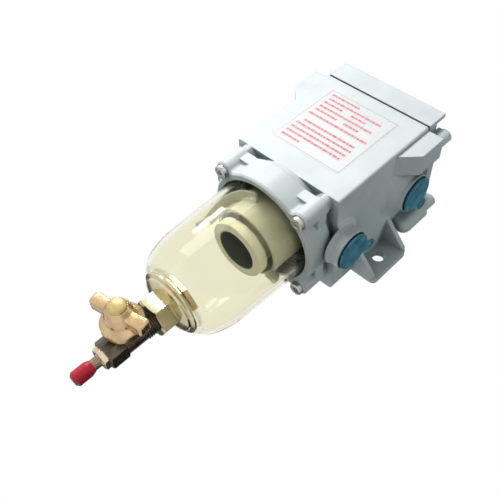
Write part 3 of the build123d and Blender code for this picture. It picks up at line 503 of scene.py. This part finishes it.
def plug(side, name, pull_degrees):
    """Lathe about the port's axis and a loop in the flange's plane, pulled to one side: a ring whose outer
    edge runs straight back to the flange on the side of the plug. Local z runs out of the port."""
    low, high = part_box(name)
    face = max(abs(low.x), abs(high.x)) / MM
    back = min(abs(low.x), abs(high.x)) / MM
    wall = [(0, face - 1.5, 0), (SHANK_INSIDE, face - FLANGE_THICK, 0.2), (SHANK_INSIDE, back, 0.3)]
    wall += [(SHANK_OUTSIDE, back, 0.5), (SHANK_OUTSIDE, back + SHANK_LENGTH, 0.2)]
    wall += [(SHOULDER_RADIUS, back + SHANK_LENGTH, 0.3), (SHOULDER_RADIUS, face - FLANGE_THICK, 0.3)]
    wall += [(FLANGE_RADIUS, face - FLANGE_THICK, 0.3), (FLANGE_RADIUS, face, 0.5), (DISH_RADIUS, face, 0.3)]
    wall += [(DISH_RADIUS - 0.4, face - DISH_DEPTH, 0.3), (0, face - DISH_DEPTH, 0)]
    disc = turn(rounded(wall, False, 5), segments=96)
    spin = full_turn(64)
    cosine, sine = np.cos(spin), np.sin(spin)
    stem = np.minimum(LOOP_OUTSIDE / np.maximum(abs(sine), 1e-6), LOOP_STEM / np.maximum(abs(cosine), 1e-6))
    reach = np.where(cosine < 0, stem, LOOP_OUTSIDE)
    hole = LOOP_INSIDE + 0 * spin
    loops = [(reach - 0.3, face - LOOP_BACK), (reach, face - LOOP_BACK + LOOP_EDGE)]
    loops += [(reach, face - LOOP_FRONT - LOOP_EDGE), (reach - 0.3, face - LOOP_FRONT)]
    loops += [(hole + 0.3, face - LOOP_FRONT), (hole, face - LOOP_FRONT - LOOP_EDGE)]
    loops += [(hole, face - LOOP_BACK + LOOP_EDGE), (hole + 0.3, face - LOOP_BACK)]
    loop = np.stack([np.stack([LOOP_MIDDLE + r * cosine, r * sine, z + 0 * r], -1) for r, z in loops]) * MM
    pull = np.radians(pull_degrees)
    out = np.array([side, 0, 0])
    along, across = np.array([0, np.cos(pull), np.sin(pull)]), np.array([0, -np.sin(pull), np.cos(pull)])
    turned = np.stack([along, across, out])
    # The flange is round and reaches lowest on the side away from the loop.
    middle = np.array([0, AXIS_Y, low.z + FLANGE_RADIUS * MM])
    shells = [(disc @ turned + middle, CAPPED), (loop @ turned + middle, RING)]
    make(name + "_moulding", shells, plug_blue, name.replace("plug_", "") + "_plug", [name])


for place, side in (("right", 1), ("left", -1)):
    plug(side, "plug_" + place + "_upper", pull_degrees=30)
    plug(side, "plug_" + place + "_lower", pull_degrees=66)

# Label on the front of the housing.
# A thin clear film printed in red: a frame, and eleven rows of bars on pink fields, which stand for the
# lines of print. Places of the rows are shares of the frame's height and width.
FRONT_Y = -88.0
FRAME_LEFT, FRAME_RIGHT, FRAME_LOW, FRAME_TOP = -29.0, 26.0, -23.0, 37.3
FRAME_LINE, FILM_MARGIN, FILM_FACE = 0.35, 1, FRONT_Y - 0.1
FIELD_FACE, PRINT_FACE, PRINT_BEVEL = FRONT_Y - 0.13, FRONT_Y - 0.16, 0.02
FIELD_HALF, FIELD_PAST_END, BAR_HALF = 1.7, 0.5, 0.85
WORD_GAP, SHORTEST_WORD = 0.45, 0.8
film = mottled("clear label film", ((0.745, 0.79, 0.79), (0.7, 0.745, 0.745)), spots=60, roughness=0.3)
pink_print = mottled("pink print", ((0.86, 0.66, 0.67), (0.84, 0.71, 0.71)), spots=900, roughness=0.45)
red_print = mottled("faded red print", ((0.56, 0.2, 0.24), (0.66, 0.36, 0.38)), spots=900, roughness=0.45)


def plate(x0, x1, z0, z1, y_back, y_front, bevel=0.03):
    """Thin box that stands on the front face, from y_back out to y_front, with a bevelled front edge."""
    outer = np.array([(x0, z0), (x1, z0), (x1, z1), (x0, z1)], float)
    inner = outer + np.array([(bevel, bevel), (-bevel, bevel), (-bevel, -bevel), (bevel, -bevel)])
    rows = [(outer, y_back), (outer, y_front + bevel), (inner, y_front)]
    grid = np.stack([np.stack([r[:, 0], np.full(4, y), r[:, 1]], -1) for r, y in rows])
    return (closed_ends(grid * MM), CAPPED)


film_plate = plate(FRAME_LEFT - FILM_MARGIN, FRAME_RIGHT + FILM_MARGIN, FRAME_LOW - FILM_MARGIN,
                   FRAME_TOP + FILM_MARGIN, FRONT_Y, FILM_FACE)
make("label_film", [film_plate], film, "separator")
strips = [(FRAME_LEFT, FRAME_RIGHT, FRAME_LOW, FRAME_LOW + FRAME_LINE)]
strips += [(FRAME_LEFT, FRAME_RIGHT, FRAME_TOP - FRAME_LINE, FRAME_TOP)]
strips += [(FRAME_LEFT, FRAME_LEFT + FRAME_LINE, FRAME_LOW, FRAME_TOP)]
strips += [(FRAME_RIGHT - FRAME_LINE, FRAME_RIGHT, FRAME_LOW, FRAME_TOP)]
width, height = FRAME_RIGHT - FRAME_LEFT, FRAME_TOP - FRAME_LOW
print_rows = [(0.065, [(0.05, 0.48)]), (0.145, [(0.07, 0.87)]), (0.22, [(0.06, 0.35), (0.48, 0.70)])]
print_rows += [(0.30, [(0.06, 0.86)]), (0.375, [(0.06, 0.40), (0.50, 0.73)]), (0.465, [(0.05, 0.94)])]
print_rows += [(0.60, [(0.10, 0.87)]), (0.68, [(0.05, 0.89)]), (0.76, [(0.05, 0.90)])]
print_rows += [(0.835, [(0.05, 0.88)]), (0.915, [(0.05, 0.33)])]
words = np.array([3.1, 1.7, 2.4, 4.2, 1.3, 2.9, 3.6, 2.1])
fields = []
for row, (down, spans) in enumerate(print_rows):
    z = FRAME_TOP - down * height
    for a, b in spans:
        left, right, length = FRAME_LEFT + a * width, FRAME_LEFT + b * width, (b - a) * width
        fields.append((left - FIELD_PAST_END, right + FIELD_PAST_END, z - FIELD_HALF, z + FIELD_HALF))
        ends = np.cumsum(np.tile(np.roll(words, row), 3))
        starts = np.concatenate([[0], ends[:-1]]) + WORD_GAP
        keep = starts < length - SHORTEST_WORD
        ends = np.minimum(ends[keep], length)
        strips += [(left + s, left + e, z - BAR_HALF, z + BAR_HALF) for s, e in zip(starts[keep], ends)]
field_plates = [plate(*field, FILM_FACE, FIELD_FACE, PRINT_BEVEL) for field in fields]
make("label_fields", field_plates, pink_print, "separator")
bar_plates = [plate(*strip, FILM_FACE, PRINT_FACE, PRINT_BEVEL) for strip in strips]
make("label_print", bar_plates, red_print, "separator")

# Drain collar.
# Turned from brass: a stepped flange under the bowl, a hexagon with chamfered corners, and a threaded
# spigot through the bowl's floor. A nut inside the bowl holds it.
TOOL_GRAIN, BORE, COLLAR_FLATS, COLLAR_FLANGE, SPIGOT = 0.000003, 3.5, 24.0, 22.5, 7
GROOVE_INSIDE, GROOVE_OUTSIDE, GROOVE_DEPTH, THREAD_HOLE = 14.5, 19, 1.2, 7.05
FLANGE_ABOVE, HEXAGON_BELOW = FLOOR - 5.9, FLOOR - 6.3
COLLAR_LOW, COLLAR_TOP = heights("drain_collar")
HEXAGON_TINT, FLANGE_TINT = (0.88, 0.82, 0.66), (1, 0.93, 0.76)
pale_brass = mottled("pale turned brass", ((0.74, 0.73, 0.6), (0.58, 0.56, 0.44)), spots=110, roughness=0.2,
                     metallic=1.0, depth=TOOL_GRAIN, rounding=MACHINED_EDGE,
                     shade=lambda tree: fade(tree, "Z", HEXAGON_BELOW, FLANGE_ABOVE, HEXAGON_TINT, FLANGE_TINT))
side = hexagon_radius(full_turn(144), COLLAR_FLATS)
flange = [(BORE, COLLAR_LOW + 6.5, 0.1), (BORE, COLLAR_TOP, 0.3), (SPIGOT, COLLAR_TOP, 0.5)]
flange += [(SPIGOT, FLOOR, 0.1), (GROOVE_INSIDE, FLOOR, 0.1), (GROOVE_INSIDE, FLOOR - GROOVE_DEPTH, 0.1)]
flange += [(GROOVE_OUTSIDE, FLOOR - GROOVE_DEPTH, 0.1), (GROOVE_OUTSIDE, FLOOR, 0.1)]
flange += [(COLLAR_FLANGE, FLOOR, 0.4), (COLLAR_FLANGE, FLOOR - 1.6, 0.5), (19.4, FLOOR - 2.2, 0.4)]
flange += [(19.2, FLOOR - 3.8, 0.4), (13.4, FLOOR - 5.8, 0.5)]
rows = [(r / MM, z / MM) for r, z in rounded(flange, False, 5)]
rows += [(side * 0.99, FLOOR - 5.8), (side, FLOOR - 6.1), (side, COLLAR_LOW + chamfer(side, 12.5, 0.6))]
rows += [(np.minimum(side, 12.4), COLLAR_LOW), (THREAD_HOLE + 0.35, COLLAR_LOW)]
rows += [(THREAD_HOLE, COLLAR_LOW + 0.3), (THREAD_HOLE, COLLAR_LOW + 6.4)]
shells = [(on_axis(around(rows, segments=144)), RING)]
make("drain_collar_turned", shells, pale_brass, "separator", ["drain_collar"])

# Drain cock body.
# Brass bar, turned and milled: threaded end, round barrel, hexagon with corners to the front and back,
# and a bonnet towards the front for the stem, with a pin that stops the handle.
COCK_TOP, HEX_TOP, COCK_LOW = COLLAR_LOW - 7.5, COLLAR_LOW - 22.0, heights("valve_body")[0]
BALL = np.array([0, AXIS_Y, (COCK_TOP - 9.3) * MM])
PITCH, THREAD_ROOT, THREAD_HEIGHT, THREAD_STEP = 1.5, 8.15, 0.75, 0.15
STUB, STUB_HEIGHT = 7, 6.4
BARREL, COCK_FLATS, OUTLET_HOLE, BORE_DEPTH = 8.3, 16.5, 6.2, 1.3
BONNET, BONNET_NECK, BONNET_FACE, STEM_HOLE, PACKING_HOLE = 6.4, 4.9, 21, 2.65, 3.9
PIN_TIP, PIN_RADIUS, PIN_PLACE, PIN_ANGLE = 7.3, 1.1, 14.7, np.radians(-22)
# The cock body's brass is painted near black: painted shade under the handle and painted dark reflection.
dark_brass = mottled("brass painted dark for shade", ((0.17, 0.135, 0.1), (0.06, 0.05, 0.045)), spots=140, roughness=0.36,
                     metallic=1.0, depth=TOOL_GRAIN, rounding=MACHINED_EDGE)


def facing_front(grid):
    """Lathe grid about Z turned so that its axis runs out to the front through the middle of the ball."""
    return np.stack([grid[..., 0], -grid[..., 2], grid[..., 1]], -1) + BALL


def threaded_end():
    """Tube with a thread outside: the radius rises and falls once for each pitch of height and once for each
    turn, with a flat root and crest."""
    height = np.arange(COCK_TOP, COLLAR_LOW + 0.01, THREAD_STEP)[:, None]
    angle = full_turn(96)[None]
    wave = abs(((height / PITCH - angle / (2 * np.pi)) % 1.0) * 2 - 1)
    crest = THREAD_ROOT + THREAD_HEIGHT * np.clip(wave * 1.5 - 0.2, 0, 1)
    inside = np.full_like(crest, BORE)
    radius = np.concatenate([crest, inside[::-1]])
    level = np.concatenate([height, height[::-1]]) + 0 * radius
    return np.stack([radius * np.cos(angle), radius * np.sin(angle), level], -1) * MM


stub = rounded([(BORE, COLLAR_LOW, 0.1), (STUB, COLLAR_LOW, 0.1), (STUB, COLLAR_LOW + STUB_HEIGHT, 0.4),
                (BORE, COLLAR_LOW + STUB_HEIGHT, 0.2)], True, 3)
side = hexagon_radius(full_turn(144) + np.pi / 6, COCK_FLATS)
barrel = [(BORE, COCK_TOP - BORE_DEPTH), (BORE, COCK_TOP), (BARREL - 0.4, COCK_TOP), (BARREL, COCK_TOP - 0.4)]
barrel += [(BARREL, HEX_TOP + 0.1), (np.minimum(side, 8.35), HEX_TOP)]
barrel += [(side, HEX_TOP - chamfer(side, 8.4, 0.7)), (side, COCK_LOW + chamfer(side, 8.6, 0.6))]
barrel += [(np.minimum(side, 8.5), COCK_LOW), (OUTLET_HOLE, COCK_LOW), (OUTLET_HOLE, COCK_TOP - BORE_DEPTH)]
bonnet = [(STEM_HOLE, 7.2, 0.1), (BONNET, 7.2, 0.1), (BONNET, 13.2, 0.5), (BONNET_NECK, 13.2, 0.4)]
bonnet += [(BONNET_NECK, BONNET_FACE, 0.3), (PACKING_HOLE, BONNET_FACE, 0.2), (PACKING_HOLE, 16, 0.1)]
bonnet += [(STEM_HOLE, 16, 0.1)]
pin = [(0, 3.6), (PIN_RADIUS, 3.6), (PIN_RADIUS, PIN_TIP - 0.2), (PIN_RADIUS - 0.2, PIN_TIP), (0, PIN_TIP)]
pin = around(pin, segments=24)
pin = np.stack([pin[..., 2], pin[..., 0], pin[..., 1] + PIN_PLACE * MM], -1)
shells = [(on_axis(turn(stub, segments=96)), RING), (on_axis(threaded_end()), RING)]
shells += [(on_axis(around(barrel, segments=144)), RING)]
shells += [(facing_front(turn(rounded(bonnet, True, 4), segments=96)), RING)]
shells += [(facing_front(spun(pin, PIN_ANGLE)), CAPPED)]
make("cock_body_turned", shells, dark_brass, "separator", ["valve_body"])

# Butterfly handle.
# One brass casting: a domed skirt over the bonnet and two flat wings, polished on the front.
POLISHED_GRAIN, POLISHED_EDGE = 0.000002, 0.0004
HANDLE_TURN = np.radians(12.0)
NUT_LOW, NUT_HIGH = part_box("handle_nut")
NUT_SEAT = -(NUT_HIGH.y - AXIS_Y) / MM
NUT_RADIUS = (NUT_HIGH.x - NUT_LOW.x) / 2 / MM
HUB_BACK, HUB_FLOOR, HUB_RADIUS, HUB_INSIDE, HUB_HOLE = 13.5, 21.3, 13, 5.2, 1.9
WING_ROOT, WING_STRAIGHT, WING_END, WING_HALF, WING_MIDDLE = 3, 16.6, 2.4, 3.95, 24.7
WING_DEEP, BACK_CORNER, FRONT_CORNER = 3.7, 0.7, 1.2
WING_WIDENS, TIP_NARROWS, TIP_THINS = 0.35, 2.2, 0.9
cast_brass = mottled("polished cast brass", ((0.76, 0.56, 0.33), (0.54, 0.36, 0.2)), spots=90, roughness=0.24,
                     metallic=1.0, depth=POLISHED_GRAIN, rounding=POLISHED_EDGE)


def wing(direction):
    """Bar that runs out from the hub, with a rectangular section whose corners are arcs. It widens a little
    between 6 and 16 mm, and at its tip draws in along a quarter of an ellipse."""
    tip = WING_END * np.sin(np.linspace(0, np.pi / 2, 10))[1:]
    x = np.concatenate([np.linspace(WING_ROOT, WING_STRAIGHT, 12), WING_STRAIGHT + tip])
    drawn_in = 1 - np.sqrt(1 - np.clip((x - WING_STRAIGHT) / WING_END, 0, 1) ** 2)
    half = WING_HALF + WING_WIDENS * np.clip((x - 6) / 10, 0, 1) - TIP_NARROWS * drawn_in
    deep = WING_DEEP - TIP_THINS * drawn_in
    steps = 5
    radius = np.array([BACK_CORNER, BACK_CORNER, FRONT_CORNER, FRONT_CORNER]).repeat(steps)
    sideways = np.array([-1, 1, 1, -1]).repeat(steps)
    frontways = np.array([-1, -1, 1, 1]).repeat(steps)
    start = np.array([np.pi, 1.5 * np.pi, 0, 0.5 * np.pi]).repeat(steps)
    angle = start + np.tile(np.linspace(0, np.pi / 2, steps), 4)
    y = sideways * (half[:, None] - radius) + np.cos(angle) * radius
    z = WING_MIDDLE + frontways * (deep[:, None] - radius) + np.sin(angle) * radius
    return closed_ends(np.stack([direction * (x[:, None] + 0 * y), y, z], -1) * MM)


hub = [(HUB_INSIDE, HUB_BACK, 0.2), (HUB_RADIUS, HUB_BACK, 0.6), (HUB_RADIUS, 18.4, 1.6), (9.5, 21, 1.5)]
hub += [(9.3, 23.5, 2), (8, 28.4, 1.2), (5.9, NUT_SEAT, 0.4), (HUB_HOLE, NUT_SEAT, 0.1)]
hub += [(HUB_HOLE, HUB_FLOOR, 0.1), (HUB_INSIDE, HUB_FLOOR, 0.1)]
shells = [(facing_front(turn(rounded(hub, True, 6), segments=96)), RING)]
shells += [(facing_front(spun(wing(direction), HANDLE_TURN)), CAPPED) for direction in (-1, 1)]
make("butterfly_handle_cast", shells, cast_brass, "tap", ["valve_handle"])

# Dome nut on the stem.
# Turned brass, with a matt face: a hole for the stem, a straight rim and an elliptic dome.
NUT_HOLE, NUT_HOLE_DEPTH, NUT_RIM, DOME_HEIGHT, NUT_EDGE = 1.65, 2.7, 0.8, 3.4, 0.25
matt_brass = mottled("matt brass", ((0.72, 0.56, 0.27), (0.6, 0.45, 0.2)), spots=300, roughness=0.45,
                     metallic=1.0, depth=0.000006)
rise = np.linspace(0, np.pi / 2, 12)
dome = np.stack([NUT_RADIUS * np.cos(rise), NUT_SEAT + NUT_RIM + DOME_HEIGHT * np.sin(rise)], -1)
foot = [[0, NUT_SEAT + NUT_HOLE_DEPTH], [NUT_HOLE, NUT_SEAT + NUT_HOLE_DEPTH], [NUT_HOLE, NUT_SEAT]]
foot += [[NUT_RADIUS - NUT_EDGE, NUT_SEAT], [NUT_RADIUS, NUT_SEAT + NUT_EDGE]]
shells = [(facing_front(turn(np.concatenate([foot, dome]) * MM, segments=72)), CAPPED)]
make("dome_nut", shells, matt_brass, "tap", ["handle_nut"])

# Outlet nipple.
# Turned brass with a hexagon shoulder, screwed into the cock; its smooth end carries the cap.
HEX_LOW = COCK_LOW - 3.5
NIPPLE_LOW, NIPPLE_TOP = heights("drain_nipple")
NIPPLE_HOLE, NIPPLE_SIDE, NIPPLE_THREAD, NIPPLE_FLATS = 2, 3.55, 6.15, 12.8
# Painted reflection: the nipple below the hexagon is painted darker, for the dark surroundings it mirrors.
brass_with_painted_dark_nipple = mottled("worn turned brass, nipple painted dark for reflection", ((0.85, 0.7, 0.5), (0.6, 0.47, 0.32)), spots=160, roughness=0.24,
                     metallic=1.0, depth=POLISHED_GRAIN, rounding=MACHINED_EDGE,
                     shade=lambda tree: fade(tree, "Z", HEX_LOW - 0.6, HEX_LOW, grey(0.45), WHITE))
side = hexagon_radius(full_turn(144) + np.pi / 6, NIPPLE_FLATS)
rows = [(NIPPLE_HOLE, NIPPLE_TOP), (NIPPLE_THREAD - 0.35, NIPPLE_TOP), (NIPPLE_THREAD, NIPPLE_TOP - 0.4)]
rows += [(NIPPLE_THREAD, COCK_LOW), (np.minimum(side, 7.1), COCK_LOW), (side, COCK_LOW - 0.3)]
rows += [(side, HEX_LOW + 0.5), (np.minimum(side, 6.5), HEX_LOW), (4.1, HEX_LOW)]
rows += [(NIPPLE_SIDE, HEX_LOW - 0.5), (NIPPLE_SIDE, NIPPLE_LOW + 0.4), (NIPPLE_SIDE - 0.35, NIPPLE_LOW)]
rows += [(NIPPLE_HOLE, NIPPLE_LOW)]
shells = [(on_axis(around(rows, segments=144)), RING)]
make("outlet_nipple_turned", shells, brass_with_painted_dark_nipple, "separator", ["drain_nipple"])

# Cap on the outlet nipple.
# Red vinyl, dipped: a soft closed sleeve that grips the nipple and pulls off.
CAP_LOW, CAP_TOP = heights("drain_cap")
CAP_INSIDE, CAP_OUTSIDE, CAP_END = 3.6, 4.8, 1.8
red = mottled("red vinyl", ((0.52, 0.003, 0.028), (0.4, 0.002, 0.018)), spots=90, roughness=0.33,
              depth=0.0000004)
cap = [(0, CAP_LOW + CAP_END, 0), (CAP_INSIDE, CAP_LOW + CAP_END, 0.3), (CAP_INSIDE, CAP_TOP, 0.1)]
cap += [(3.9, CAP_TOP, 0.15), (CAP_OUTSIDE, CAP_TOP - 3, 1.5), (CAP_OUTSIDE, CAP_LOW + 1.6, 1.2)]
cap += [(3.2, CAP_LOW, 0.9), (0, CAP_LOW, 0)]
shells = [(on_axis(turn(rounded(cap, False, 7), segments=72)), CAPPED)]
make("pull_off_cap", shells, red, "nipple_cap", ["drain_cap"])

# Parts inside the cock and the bowl.
# Turned brass nut and stem, a chrome-plated ball, and white plastic seats and packing.
brass = mottled("turned brass", ((0.6, 0.47, 0.3), (0.4, 0.3, 0.19)), spots=160, roughness=0.24, metallic=1.0,
                depth=TOOL_GRAIN, rounding=MACHINED_EDGE)
chrome = mottled("chrome plate", ((0.75, 0.76, 0.77), (0.65, 0.66, 0.67)), spots=300, roughness=0.12,
                 metallic=1.0)
seat_white = mottled("white seat plastic", ((0.85, 0.85, 0.82), (0.75, 0.75, 0.72)), spots=300, roughness=0.4)
dress("drain_locknut", brass)
dress("valve_stem", brass)
dress("valve_ball", chrome)
dress("ball_seats", seat_white)
dress("stem_packing", seat_white)

# Studio.
# A pale floor, three soft lamps that reflections don't show, and a window and two strips that only
# reflections show. Three cards, two dark and one cream, stand where the brass and the paint mirror them.
FLOOR_Z = -0.32
SOFT_LAMPS = ("key", "fill", "side")
COOL_LAMPS = ("fill", "side")
COOL = (0.84, 1, 0.97)
MIDDLE, KEY_MIDDLE = Vector((0, -0.05, -0.1)), Vector((0, -0.05, -0.08))
KEY_PLACE = KEY_MIDDLE + 1.2 * Vector((-0.55, -0.8, 0.2)).normalized()


def seen_or_reflected(tree, unseen, seen):
    """The value seen for camera, glossy and transmission rays, and unseen for all others."""
    path = tree.nodes.new("ShaderNodeLightPath")
    any_ray = path.outputs["Is Camera Ray"]
    for kind in ("Is Glossy Ray", "Is Transmission Ray"):
        either = tree.nodes.new("ShaderNodeMath")
        either.operation = "MAXIMUM"
        tree.links.new(any_ray, either.inputs[0])
        tree.links.new(path.outputs[kind], either.inputs[1])
        any_ray = either.outputs["Value"]
    strength = tree.nodes.new("ShaderNodeMapRange")
    strength.inputs["To Min"].default_value = unseen
    strength.inputs["To Max"].default_value = seen
    tree.links.new(any_ray, strength.inputs["Value"])
    return strength.outputs["Result"]


def rectangle(name, corners, finish):
    """Flat four-sided sheet that belongs to the studio."""
    mesh = bpy.data.meshes.new(name)
    mesh.from_pydata(corners, [], [(0, 1, 2, 3)])
    mesh.materials.append(finish)
    made = bpy.data.objects.new(name, mesh)
    bpy.context.scene.collection.objects.link(made)
    return made


def lamp(name, place, middle, width, height, power):
    """Area lamp of width by height metres that faces middle. A soft lamp lights surfaces and isn't mirrored;
    another is only mirrored."""
    data = bpy.data.lights.new(name, "AREA")
    data.shape = "RECTANGLE"
    data.size, data.size_y = width, height
    data.energy = power
    if name in COOL_LAMPS:
        data.color = COOL
    light = bpy.data.objects.new(name, data)
    bpy.context.scene.collection.objects.link(light)
    light.location = place
    light.rotation_mode = "QUATERNION"
    light.rotation_quaternion = (middle - Vector(place)).to_track_quat("-Z", "Y")
    light.visible_diffuse = name in SOFT_LAMPS
    light.visible_glossy = name not in SOFT_LAMPS


world = bpy.data.worlds.new("studio")
bpy.context.scene.world = world
world.use_nodes = True
tree = world.node_tree
background = tree.nodes["Background"]
background.inputs["Color"].default_value = (*WHITE, 1)
tree.links.new(seen_or_reflected(tree, unseen=0.13, seen=1.0), background.inputs["Strength"])
floor_finish, tree, shader = material("pale floor", grey(0.85), roughness=0.8)
shader.inputs["Emission Color"].default_value = (*WHITE, 1)
tree.links.new(seen_or_reflected(tree, unseen=0.0, seen=0.45), shader.inputs["Emission Strength"])

lamp("key", KEY_PLACE, KEY_MIDDLE, 0.6, 0.6, 14.4)
floor = [(-0.5, -0.55, FLOOR_Z), (0.5, -0.55, FLOOR_Z), (0.5, 0.45, FLOOR_Z), (-0.5, 0.45, FLOOR_Z)]
rectangle("floor", floor, floor_finish)
back_card = [(0.05, 0.3, -0.6), (0.6, 0.3, -0.6), (0.6, 0.3, 0.5), (0.05, 0.3, 0.5)]
low_card = [(-0.6, 0.3, -0.6), (0.05, 0.3, -0.6), (0.05, 0.3, -0.16), (-0.6, 0.3, -0.16)]
side_card = [(0.7, -0.5, -0.5), (0.7, 0.3, -0.5), (0.7, 0.3, 0.6), (0.7, -0.5, 0.6)]
for name, corners, colour in (("back_card", back_card, grey(0.03)), ("low_card", low_card, grey(0.06)),
                              ("side_card", side_card, (0.85, 0.8, 0.62))):
    card = rectangle(name, corners, material(name, colour, roughness=0.9)[0])
    card.visible_camera = False
    card.visible_diffuse = False
    card.visible_transmission = False
    card.visible_shadow = False
lamp("first_strip", (-0.61, -0.818, 0.5), MIDDLE, 0.009, 0.45, 1.6)
lamp("second_strip", (-0.478, -0.91, 0.5), MIDDLE, 0.009, 0.45, 1.6)
lamp("window", (-0.8, -0.6, 0.24), MIDDLE, 0.2, 0.13, 3.0)
lamp("fill", (-0.6, -0.25, -0.8), MIDDLE, 0.5, 0.5, 4.0)
lamp("side", (0.8, -0.12, 0.5), MIDDLE, 0.4, 0.4, 1.5)

# Camera.
# Its place, its directions right, down and forward, and its focal length in pixels of the photograph come
# from a fit to the object's edges there.
SENSOR_WIDTH, FRAME_PIXELS, FOCAL_PIXELS = 36, 500, 650.8
STAND = (0.19958, -0.37131, -0.25659)
RIGHT = (0.70886, 0.044946, 0.703916)
DOWN = (0.527801, 0.628233, -0.571621)
FORWARD = (-0.467915, 0.776726, 0.421606)
camera_data = bpy.data.cameras.new("camera")
camera_data.sensor_width = SENSOR_WIDTH
camera_data.lens = FOCAL_PIXELS / FRAME_PIXELS * SENSOR_WIDTH
camera_data.clip_start = 0.01
camera = bpy.data.objects.new("camera", camera_data)
bpy.context.scene.collection.objects.link(camera)
rows = [(RIGHT[i], -DOWN[i], -FORWARD[i], STAND[i]) for i in range(3)]
camera.matrix_world = Matrix(rows + [(0, 0, 0, 1)])
bpy.context.scene.camera = camera
bpy.context.scene.view_settings.view_transform = "Standard"
